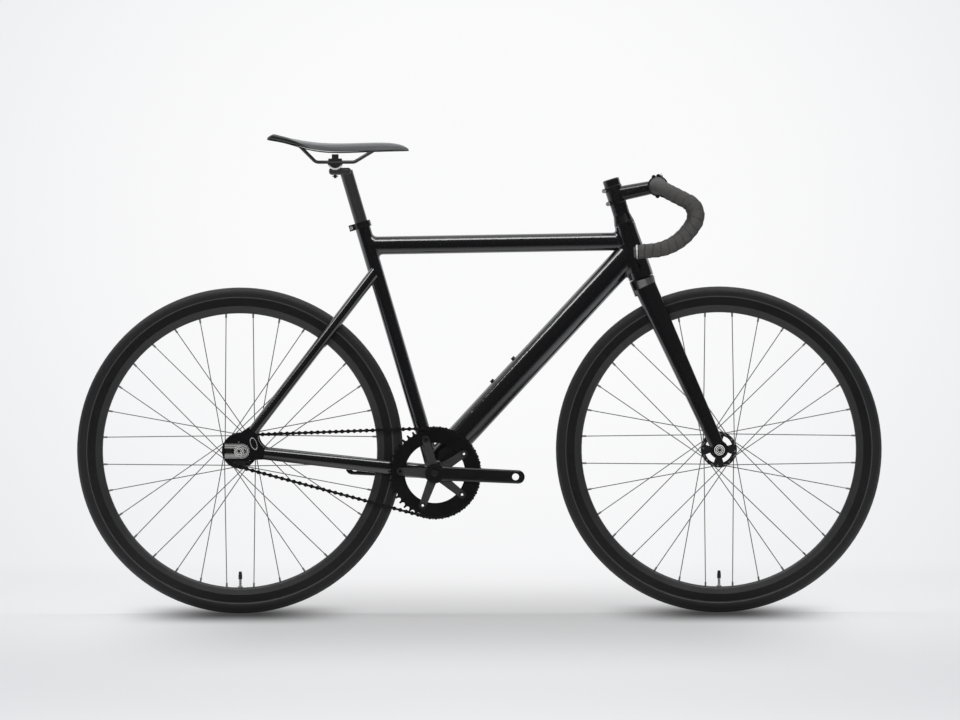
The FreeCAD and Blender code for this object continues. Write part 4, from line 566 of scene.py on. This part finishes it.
# Geometry node tools
def newTree(name, inputs):
    tree = bpy.data.node_groups.new(name, "GeometryNodeTree")
    tree.interface.new_socket("Geometry", in_out="INPUT", socket_type="NodeSocketGeometry")
    for label, kind, value in inputs:
        socket = tree.interface.new_socket(label, in_out="INPUT", socket_type=kind)
        if value is not None:
            socket.default_value = value
    tree.interface.new_socket("Geometry", in_out="OUTPUT", socket_type="NodeSocketGeometry")
    return tree, tree.nodes.new("NodeGroupInput"), tree.nodes.new("NodeGroupOutput")


def geoNode(tree, kind, **links):
    made = tree.nodes.new(kind)
    for label, value in links.items():
        socket = made.inputs[label.replace("_", " ")]
        if isinstance(value, bpy.types.NodeSocket):
            tree.links.new(value, socket)
        else:
            socket.default_value = value
    return made


def growObject(name, source, tree, values):
    # Runs a tree on an object, and keeps the result as a plain mesh object of its own.
    modifier = source.modifiers.new("grow", "NODES")
    modifier.node_group = tree
    for item in tree.interface.items_tree:
        if item.item_type == "SOCKET" and item.in_out == "INPUT" and item.name in values:
            modifier[item.identifier] = values[item.name]
    graph = bpy.context.evaluated_depsgraph_get()
    mesh = bpy.data.meshes.new_from_object(source.evaluated_get(graph))
    source.modifiers.remove(modifier)
    bpy.data.objects.remove(source)
    mesh.name = name
    return newObject(name, mesh)


def pathObject(name, runs):
    # Each run is a list of points with a radius; they become one poly curve object.
    curve = bpy.data.curves.new(name, "CURVE")
    curve.dimensions = "3D"
    for run in runs:
        spline = curve.splines.new("POLY")
        spline.points.add(len(run) - 1)
        for point, (place, radius) in zip(spline.points, run):
            point.co = (*place, 1.0)
            point.radius = radius
    return newObject(name, curve)


# Handlebar tape
tape = {"start": 0.027, "bulge": 0.035, "taperEnd": 0.062, "thickRadius": 0.0159, "gripRadius": 0.0119,
        "thickness": 0.0031, "pitch": 0.017, "ridge": 0.0013, "step": 0.0009, "sides": 32,
        "lip": 0.14, "fall": 0.8, "core": 0.001, "bends": (0.120, 0.080, 0.035, 0.105),
        "route": ((0.0, -0.062, 0.0), (0.0, -0.088, 0.0), (0.023, -0.160, -0.012488),
                  (0.0945, -0.190, -0.0487), (0.0388, -0.190, -0.1303), (-0.0439, -0.190, -0.1361))}


def roundedRun(points, radii, step):
    # Straight runs joined by tangent arcs, as places a step apart.
    places = [points[0]]
    start = points[0]
    for corner, after, radius in zip(points[1:-1], points[2:], radii):
        back = (start - corner).normalized()
        ahead = (after - corner).normalized()
        halfTurn = (math.pi - back.angle(ahead)) / 2
        reach = radius * math.tan(halfTurn)
        arcFrom = corner + back * reach
        middle = corner + (back + ahead).normalized() * (radius / math.cos(halfTurn))
        places.extend(straightRun(places[-1], arcFrom, step))
        axis = (arcFrom - middle).cross(corner + ahead * reach - middle).normalized()
        count = max(2, round(2 * halfTurn * radius / step))
        for index in range(1, count + 1):
            turn = Matrix.Rotation(2 * halfTurn * index / count, 3, axis)
            places.append(middle + turn @ (arcFrom - middle))
        start = places[-1]
    places.extend(straightRun(places[-1], points[-1], step))
    return places


def straightRun(start, end, step):
    count = max(1, round((end - start).length / step))
    return [start.lerp(end, index / count) for index in range(1, count + 1)]


def tapeRadius(across):
    share = (across - tape["bulge"]) / (tape["taperEnd"] - tape["bulge"])
    share = min(max(share, 0.0), 1.0)
    return tape["thickRadius"] + (tape["gripRadius"] - tape["thickRadius"]) * share


def tapeRun(side):
    route = [barCentre + Vector((x, y * -side, z)) for x, y, z in tape["route"]]
    begin = barCentre + Vector((0.0, tape["start"] * side, 0.0))
    places = [begin] + straightRun(begin, route[0], tape["step"])
    places += roundedRun(route, tape["bends"], tape["step"])[1:]
    return [(place, tapeRadius(abs(place.y))) for place in places]


def tapeTree():
    # A tube along the bar whose surface steps up at each turn of the wound strip.
    tree, inside, outside = newTree("woundTape", [
        ("Thickness", "NodeSocketFloat", 0.003), ("Pitch", "NodeSocketFloat", 0.02),
        ("Ridge", "NodeSocketFloat", 0.001), ("Sides", "NodeSocketInt", 24),
        ("Finish", "NodeSocketMaterial", None)])
    line = inside.outputs["Geometry"]
    along = tree.nodes.new("GeometryNodeSplineParameter")
    kept = tree.nodes.new("GeometryNodeCaptureAttribute")
    kept.capture_items.new("FLOAT", "run")
    kept.capture_items.new("FLOAT", "thick")
    tree.links.new(line, kept.inputs["Geometry"])
    tree.links.new(along.outputs["Length"], kept.inputs["run"])
    radius = tree.nodes.new("GeometryNodeInputRadius")
    tree.links.new(radius.outputs[0], kept.inputs["thick"])
    even = geoNode(tree, "GeometryNodeSetCurveRadius", Curve=kept.outputs["Geometry"], Radius=1.0)
    circle = geoNode(tree, "GeometryNodeCurvePrimitiveCircle", Resolution=inside.outputs["Sides"],
                     Radius=1.0)
    hoop = tree.nodes.new("GeometryNodeCaptureAttribute")
    hoop.capture_items.new("FLOAT", "turn")
    tree.links.new(circle.outputs["Curve"], hoop.inputs["Geometry"])
    tree.links.new(along.outputs["Factor"], hoop.inputs["turn"])
    small = geoNode(tree, "GeometryNodeTransform", Geometry=hoop.outputs["Geometry"],
                    Scale=(tape["core"],) * 3)
    tube = geoNode(tree, "GeometryNodeCurveToMesh", Curve=even.outputs["Curve"],
                   Profile_Curve=small.outputs["Geometry"], Fill_Caps=True)

    turns = mathNode(tree, "DIVIDE", kept.outputs["run"], inside.outputs["Pitch"])
    wound = mathNode(tree, "FRACT", mathNode(tree, "ADD", turns, hoop.outputs["turn"]))
    lip = rampNode(tree, wound, 0.0, tape["lip"])
    fall = mathNode(tree, "SUBTRACT", 1.0, mathNode(tree, "POWER", wound, tape["fall"]))
    height = mathNode(tree, "MULTIPLY", mathNode(tree, "MULTIPLY", lip, fall), inside.outputs["Ridge"])
    total = mathNode(tree, "ADD", mathNode(tree, "ADD", kept.outputs["thick"], inside.outputs["Thickness"]),
                     mathNode(tree, "SUBTRACT", height, inside.outputs["Ridge"]))
    outward = mathNode(tree, "SUBTRACT", total, tape["core"])
    push = tree.nodes.new("ShaderNodeVectorMath")
    push.operation = "SCALE"
    tree.links.new(tree.nodes.new("GeometryNodeInputNormal").outputs[0], push.inputs[0])
    tree.links.new(outward, push.inputs["Scale"])
    moved = geoNode(tree, "GeometryNodeSetPosition", Geometry=tube.outputs["Mesh"],
                    Offset=push.outputs[0])
    # The groove mask is kept for the painted shade in the tape's colour.
    grooveShade = geoNode(tree, "GeometryNodeStoreNamedAttribute", Geometry=moved.outputs["Geometry"],
                     Name="grooveShade", Value=mathNode(tree, "SUBTRACT", 1.0, lip))
    smooth = geoNode(tree, "GeometryNodeSetShadeSmooth", Geometry=grooveShade.outputs["Geometry"])
    real = geoNode(tree, "GeometryNodeRealizeInstances", Geometry=smooth.outputs["Geometry"])
    dressed = geoNode(tree, "GeometryNodeSetMaterial", Geometry=real.outputs["Geometry"],
                      Material=inside.outputs["Finish"])
    tree.links.new(dressed.outputs["Geometry"], outside.inputs["Geometry"])
    return tree


tapePath = pathObject("tapePath", [tapeRun(-1), tapeRun(1)])
tapePiece = growObject("barTapeWrap", tapePath, tapeTree(), {
    "Thickness": tape["thickness"], "Pitch": tape["pitch"], "Ridge": tape["ridge"], "Sides": tape["sides"],
    "Finish": finishes["barTape"]})
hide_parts("bar_tape")
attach(tapePiece, "handlebar")
print("tape faces:", len(tapePiece.data.polygons))


# Saddle cover
saddle = {"lift": 0.0025, "smoothing": 3,
          "stations": ((-0.1412, 0.0512, 0.0465, 0.046), (-0.1300, 0.0592, 0.0442, 0.057),
                       (-0.1240, 0.0582, 0.0432, 0.060),
                       (-0.1000, 0.0518, 0.0380, 0.067), (-0.0660, 0.0446, 0.0280, 0.064),
                       (-0.0300, 0.0400, 0.0209, 0.047), (0.0100, 0.0388, 0.0188, 0.032),
                       (0.0600, 0.0403, 0.0202, 0.024), (0.1100, 0.0414, 0.0218, 0.0205),
                       (0.1400, 0.0365, 0.0224, 0.016), (0.1530, 0.0275, 0.0228, 0.008)),
          "outline": ((0.0, 0.0), (0.45, 0.0), (0.78, 0.0), (0.95, 0.22), (1.0, 0.46), (0.955, 0.68),
                      (0.83, 0.82), (0.56, 0.93), (0.26, 0.985), (0.0, 1.0))}


def makeSaddle():
    # A station holds its place along the saddle, its top, its base and half its width. The outline runs
    # from the middle of the underside to the middle of the top, in shares of that width and height.
    made = bmesh.new()
    rings = []
    for forward, top, base, half in saddle["stations"]:
        low = base + saddle["lift"]
        side = [(half * wide, low + (top - low) * tall) for wide, tall in saddle["outline"]]
        loop = side + [(-y, z) for y, z in reversed(side[1:-1])]
        rings.append([made.verts.new(clampPoint + Vector((forward, y, z))) for y, z in loop])
    for first, second in zip(rings, rings[1:]):
        bridgeLoops(made, first, second)
    # The two ends are closed by faces from side to side.
    count = len(rings[0])
    for ring in (rings[0], rings[-1]):
        for index in range(count // 2):
            across = (ring[index], ring[index + 1],
                      ring[(count - index - 1) % count], ring[(count - index) % count])
            made.faces.new(list(dict.fromkeys(across)))
    piece = bmeshObject("saddleCover", made, finishes["saddleCover"])
    soft = piece.modifiers.new("soft", "SUBSURF")
    soft.levels = saddle["smoothing"]
    soft.render_levels = saddle["smoothing"]
    return piece


saddlePiece = makeSaddle()
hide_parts("saddle_pad")
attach(saddlePiece, "saddle")
print("saddle cover made")


# Weld fillets where the frame tubes meet: tube, what it meets, two points (X, Z) on its axis, and reach
welds = (("top_tube", "seat_tube", (0.0, 0.7675), (-0.2304, 0.7641), 0.009),
         ("top_tube", "head_tube", (0.1, 0.7690), (0.3140, 0.7722), 0.008),
         ("down_tube", "head_tube", (0.1, 0.51641), (0.3199, 0.7530), 0.008),
         ("down_tube", "bottom_bracket_shell", (0.1, 0.51641), (-0.0924, 0.3094), 0.006),
         ("seat_tube", "bottom_bracket_shell", (-0.1643, 0.5382), (-0.0924, 0.2924), 0.006))
weld = {"turns": 72, "arc": 6, "backOff": 0.35, "outside": 0.09, "skin": 0.0001, "sunk": 0.0002,
        "root": 0.0012, "lift": 0.015}


def surfaceOf(name):
    graph = bpy.context.evaluated_depsgraph_get()
    return BVHTree.FromObject(node[name], graph)


def weldSection(tube, target, start, end, outward, reach):
    # Points across the fillet on one side of the tube, then one point inside the metal.
    axis = (end - start).normalized()
    base = end - axis * ((end - start).length * weld["backOff"])
    skin = tube.ray_cast(base + outward * weld["outside"], -outward)[0] + outward * weld["skin"]
    corner, normal = target.ray_cast(skin, axis)[:2]
    if corner is None:
        return None
    along = (outward - normal * outward.dot(normal)).normalized()
    far = corner + along * reach
    landed = target.ray_cast(far + normal * weld["lift"], -normal)[0] or far
    first = corner - axis * reach - outward * weld["sunk"]
    last = landed - normal * weld["sunk"]
    points = []
    for index in range(weld["arc"] + 1):
        share = index / weld["arc"]
        points.append(first * (1 - share) ** 2 + corner * (2 * share * (1 - share)) + last * share ** 2)
    return points + [corner - outward * weld["root"] - normal * weld["root"]]


def makeWelds():
    made = bmesh.new()
    for tubeName, targetName, far, near, reach in welds:
        tube = surfaceOf(tubeName)
        target = surfaceOf(targetName)
        start = Vector((far[0], 0.0, far[1]))
        end = Vector((near[0], 0.0, near[1]))
        axis = (end - start).normalized()
        across = Vector((0.0, 1.0, 0.0))
        up = axis.cross(across)
        sections = []
        for index in range(weld["turns"]):
            turn = 2 * math.pi * index / weld["turns"]
            outward = across * math.cos(turn) + up * math.sin(turn)
            section = weldSection(tube, target, start, end, outward, reach)
            if section is None:
                print("no weld at", tubeName, targetName, index)
                continue
            sections.append([made.verts.new(point) for point in section])
        for first, second in zip(sections, sections[1:] + sections[:1]):
            bridgeLoops(made, first, second)
    return bmeshObject("weldFillets", made, finishes["framePaint"])


weldPiece = makeWelds()
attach(weldPiece, "frame")
print("weld faces:", len(weldPiece.data.polygons))


# Studio: a sweep of paper, with painted light falloff that darkens it away from the middle of the picture
studio = {"floorFront": -60.0, "floorBack": 3.5, "bend": 2.5, "wall": 9.0, "halfWidth": 14.0, "steps": 16,
          "paper": (0.985, 0.985, 0.99), "edge": (0.80, 0.81, 0.84), "floorTone": 0.80, "mottle": 0.99,
          "fine": 40.0, "broad": 1.5, "distance": 20.0, "middle": 0.85, "spread": 0.062, "height": 1.35,
          "fall": (0.3, 1.5),
          "near": (2.5, -3.5, 0.0, 0.7), "flatBelow": 0.02, "lit": (0.8, 3.4), "litFloor": 0.30,
          "litWall": 0.04, "mirrorTone": 0.06, "mirror": (-1.5, -0.2), "plain": (-4.4, -6.0)}

# Painted shadows on the floor paper, a broad one under the bike and a tight one at each tyre's contact:
# middle, reach where each begins to fade, reach where it ends, and depth
paintedShadows = (((0.0, -0.38), (0.40, 0.0), (0.82, 2.5), 0.34),
           ((rearAxle.x, -0.04), (0.03, 0.04), (0.27, 0.58), 0.90),
           ((frontAxle.x, -0.04), (0.03, 0.04), (0.27, 0.58), 0.90))


def paintedShadowPatch(tree, place, middle, begin, end, depth):
    # Painted shadow: one patch of darker paper, fading out along X and along Y.
    fades = [rampNode(tree, awayNode(tree, place[axis], middle[index]), begin[index], end[index], 1.0, 0.0)
             for index, axis in enumerate("XY")]
    share = mathNode(tree, "MULTIPLY", *fades)
    return mathNode(tree, "SUBTRACT", 1.0, mathNode(tree, "MULTIPLY", share, depth))


def mixShader(tree, factor, first, second):
    made = tree.nodes.new("ShaderNodeMixShader")
    for index, source in enumerate((factor, first, second)):
        tree.links.new(source, made.inputs[index])
    return made.outputs["Shader"]


def makeBackdropFinish():
    # Paper that shows its own pale tone to the eye and in reflections, and takes a share of real light.
    made = Finish("backdropPaper", Roughness=0.9, Specular_IOR_Level=0.05)
    tree = made.tree
    black = (0.0, 0.0, 0.0)
    place = objectPlace(tree)
    grain = made.grain(studio)
    path = tree.nodes.new("ShaderNodeLightPath").outputs

    # Painted light falloff: the paper's tone falls off towards the edges of the picture and towards the
    # front.
    depth = mathNode(tree, "ADD", place["Y"], studio["distance"])
    wide = mathNode(tree, "DIVIDE", mathNode(tree, "DIVIDE", place["X"], depth), studio["spread"])
    above = mathNode(tree, "SUBTRACT", place["Z"], studio["middle"])
    tall = mathNode(tree, "DIVIDE", above, studio["height"])
    near = rampNode(tree, place["Y"], *studio["near"])
    fall = rampNode(tree, distanceNode(tree, wide, tall, near), *studio["fall"])
    soft = tuple(value * share for value, share in zip(studio["paper"], studio["edge"]))
    pale = mixColour(tree, fall, studio["paper"], soft)
    lit = tuple(value * studio["floorTone"] for value in studio["paper"])
    dim = mixColour(tree, grain["Mottle"], tuple(value * studio["mottle"] for value in lit), lit)

    # The painted shadows lie on the flat floor alone, and darken both the paper's colour and its own glow.
    shade = None
    for patch in paintedShadows:
        tone = paintedShadowPatch(tree, place, *patch)
        shade = tone if shade is None else mathNode(tree, "MULTIPLY", shade, tone)
    flat = mathNode(tree, "LESS_THAN", place["Z"], studio["flatBelow"])
    shade = mathNode(tree, "MAXIMUM", shade, mathNode(tree, "SUBTRACT", 1.0, flat))
    made.feed(mixColour(tree, shade, black, dim), "Base Color")

    # The front of the floor is darker in reflections.
    glow = tree.nodes.new("ShaderNodeEmission")
    tree.links.new(mixColour(tree, shade, black, pale), glow.inputs["Color"])
    mirror = mathNode(tree, "MAXIMUM", path["Is Glossy Ray"], path["Is Transmission Ray"])
    ahead = rampNode(tree, place["Y"], *studio["mirror"], 1.0 - studio["mirrorTone"], 0.0)
    strength = mathNode(tree, "SUBTRACT", 1.0, mathNode(tree, "MULTIPLY", mirror, ahead))
    tree.links.new(strength, glow.inputs["Strength"])

    # The share of the paper's own tone, which the eye sees whole at the far front.
    own = rampNode(tree, place["Y"], *studio["lit"], 1.0 - studio["litFloor"], 1.0 - studio["litWall"])
    front = rampNode(tree, place["Y"], *studio["plain"])
    eye = mathNode(tree, "MULTIPLY", path["Is Camera Ray"], mathNode(tree, "MAXIMUM", own, front))
    paper = mixShader(tree, mathNode(tree, "MAXIMUM", eye, mirror), made.shader.outputs["BSDF"],
                      glow.outputs["Emission"])

    # Seen from behind, the paper is clear, so that the far side of the object can be looked at too.
    back = tree.nodes.new("ShaderNodeNewGeometry").outputs["Backfacing"]
    clear = tree.nodes.new("ShaderNodeBsdfTransparent").outputs["BSDF"]
    tree.links.new(mixShader(tree, back, paper, clear), tree.nodes["Material Output"].inputs["Surface"])
    return made.material


def makeBackdrop():
    profile = [(studio["floorFront"], 0.0), (studio["floorBack"], 0.0)]
    for index in range(1, studio["steps"] + 1):
        turn = math.pi / 2 * index / studio["steps"]
        profile.append((studio["floorBack"] + studio["bend"] * math.sin(turn),
                        studio["bend"] * (1 - math.cos(turn))))
    profile.append((profile[-1][0], studio["wall"]))
    places = [(side * studio["halfWidth"], y, z) for y, z in profile for side in (-1, 1)]
    faces = [(near, near + 1, near + 3, near + 2) for near in range(0, 2 * len(profile) - 2, 2)]
    mesh = bpy.data.meshes.new("backdrop")
    mesh.from_pydata(places, [], faces)
    piece = smoothObject("backdrop", mesh, makeBackdropFinish())


def softbox(name, place, aim, size, power, mirrored=False):
    # A mirrored lamp is seen in reflections alone; the others light the surfaces and are not seen in them.
    lamp = bpy.data.lights.new(name, "AREA")
    lamp.shape = "RECTANGLE"
    lamp.size, lamp.size_y = size
    lamp.energy = power
    made = newObject(name, lamp)
    made.location = place
    made.rotation_euler = (Vector(aim) - Vector(place)).to_track_quat("-Z", "Y").to_euler()
    made.visible_glossy = mirrored
    made.visible_diffuse = not mirrored


makeBackdrop()
softbox("overhead", (0.0, 0.9, 3.4), (0.0, 0.0, 0.2), (5.0, 1.6), 125.0)
softbox("fill", (-1.0, -9.0, 1.9), (0.0, 0.0, 0.5), (6.0, 3.0), 700.0)
softbox("strip", (0.0, -1.7, 3.4), (0.0, 0.0, 0.8), (6.0, 0.9), 84.0, mirrored=True)
softbox("ceiling", (0.0, 1.6, 4.6), (0.0, 1.6, 0.0), (12.0, 6.0), 150.0, mirrored=True)

# The air gives little light, and looks pale where the camera sees past the paper.
air = {"light": 0.06, "seen": 0.86}
world = bpy.data.worlds.new("studioAir")
bpy.context.scene.world = world
world.use_nodes = True
airTree = world.node_tree
sky = airTree.nodes["Background"].inputs
sky["Color"].default_value = (1.0, 1.0, 1.0, 1.0)
rays = airTree.nodes.new("ShaderNodeLightPath").outputs
seen = mathNode(airTree, "MULTIPLY_ADD", rays["Is Camera Ray"], air["seen"] - air["light"], air["light"])
airTree.links.new(seen, sky["Strength"])

# Camera at the photograph's place
view = {"place": (0.0017, -20.0, 0.814), "aim": (0.0017, 0.0, 0.526), "lens": 360.6, "sensor": 36.0,
        "roll": -0.13, "sightEnd": 100.0}
lens = bpy.data.cameras.new("sideCamera")
lens.sensor_width = view["sensor"]
lens.lens = view["lens"]
lens.clip_end = view["sightEnd"]
camera = newObject("sideCamera", lens)
camera.location = view["place"]
sight = (Vector(view["aim"]) - Vector(view["place"])).to_track_quat("-Z", "Y").to_matrix()
camera.rotation_euler = (sight @ Matrix.Rotation(math.radians(view["roll"]), 3, "Z")).to_euler()
bpy.context.scene.camera = camera
bpy.context.scene.view_settings.view_transform = "Standard"
print("studio and camera set")
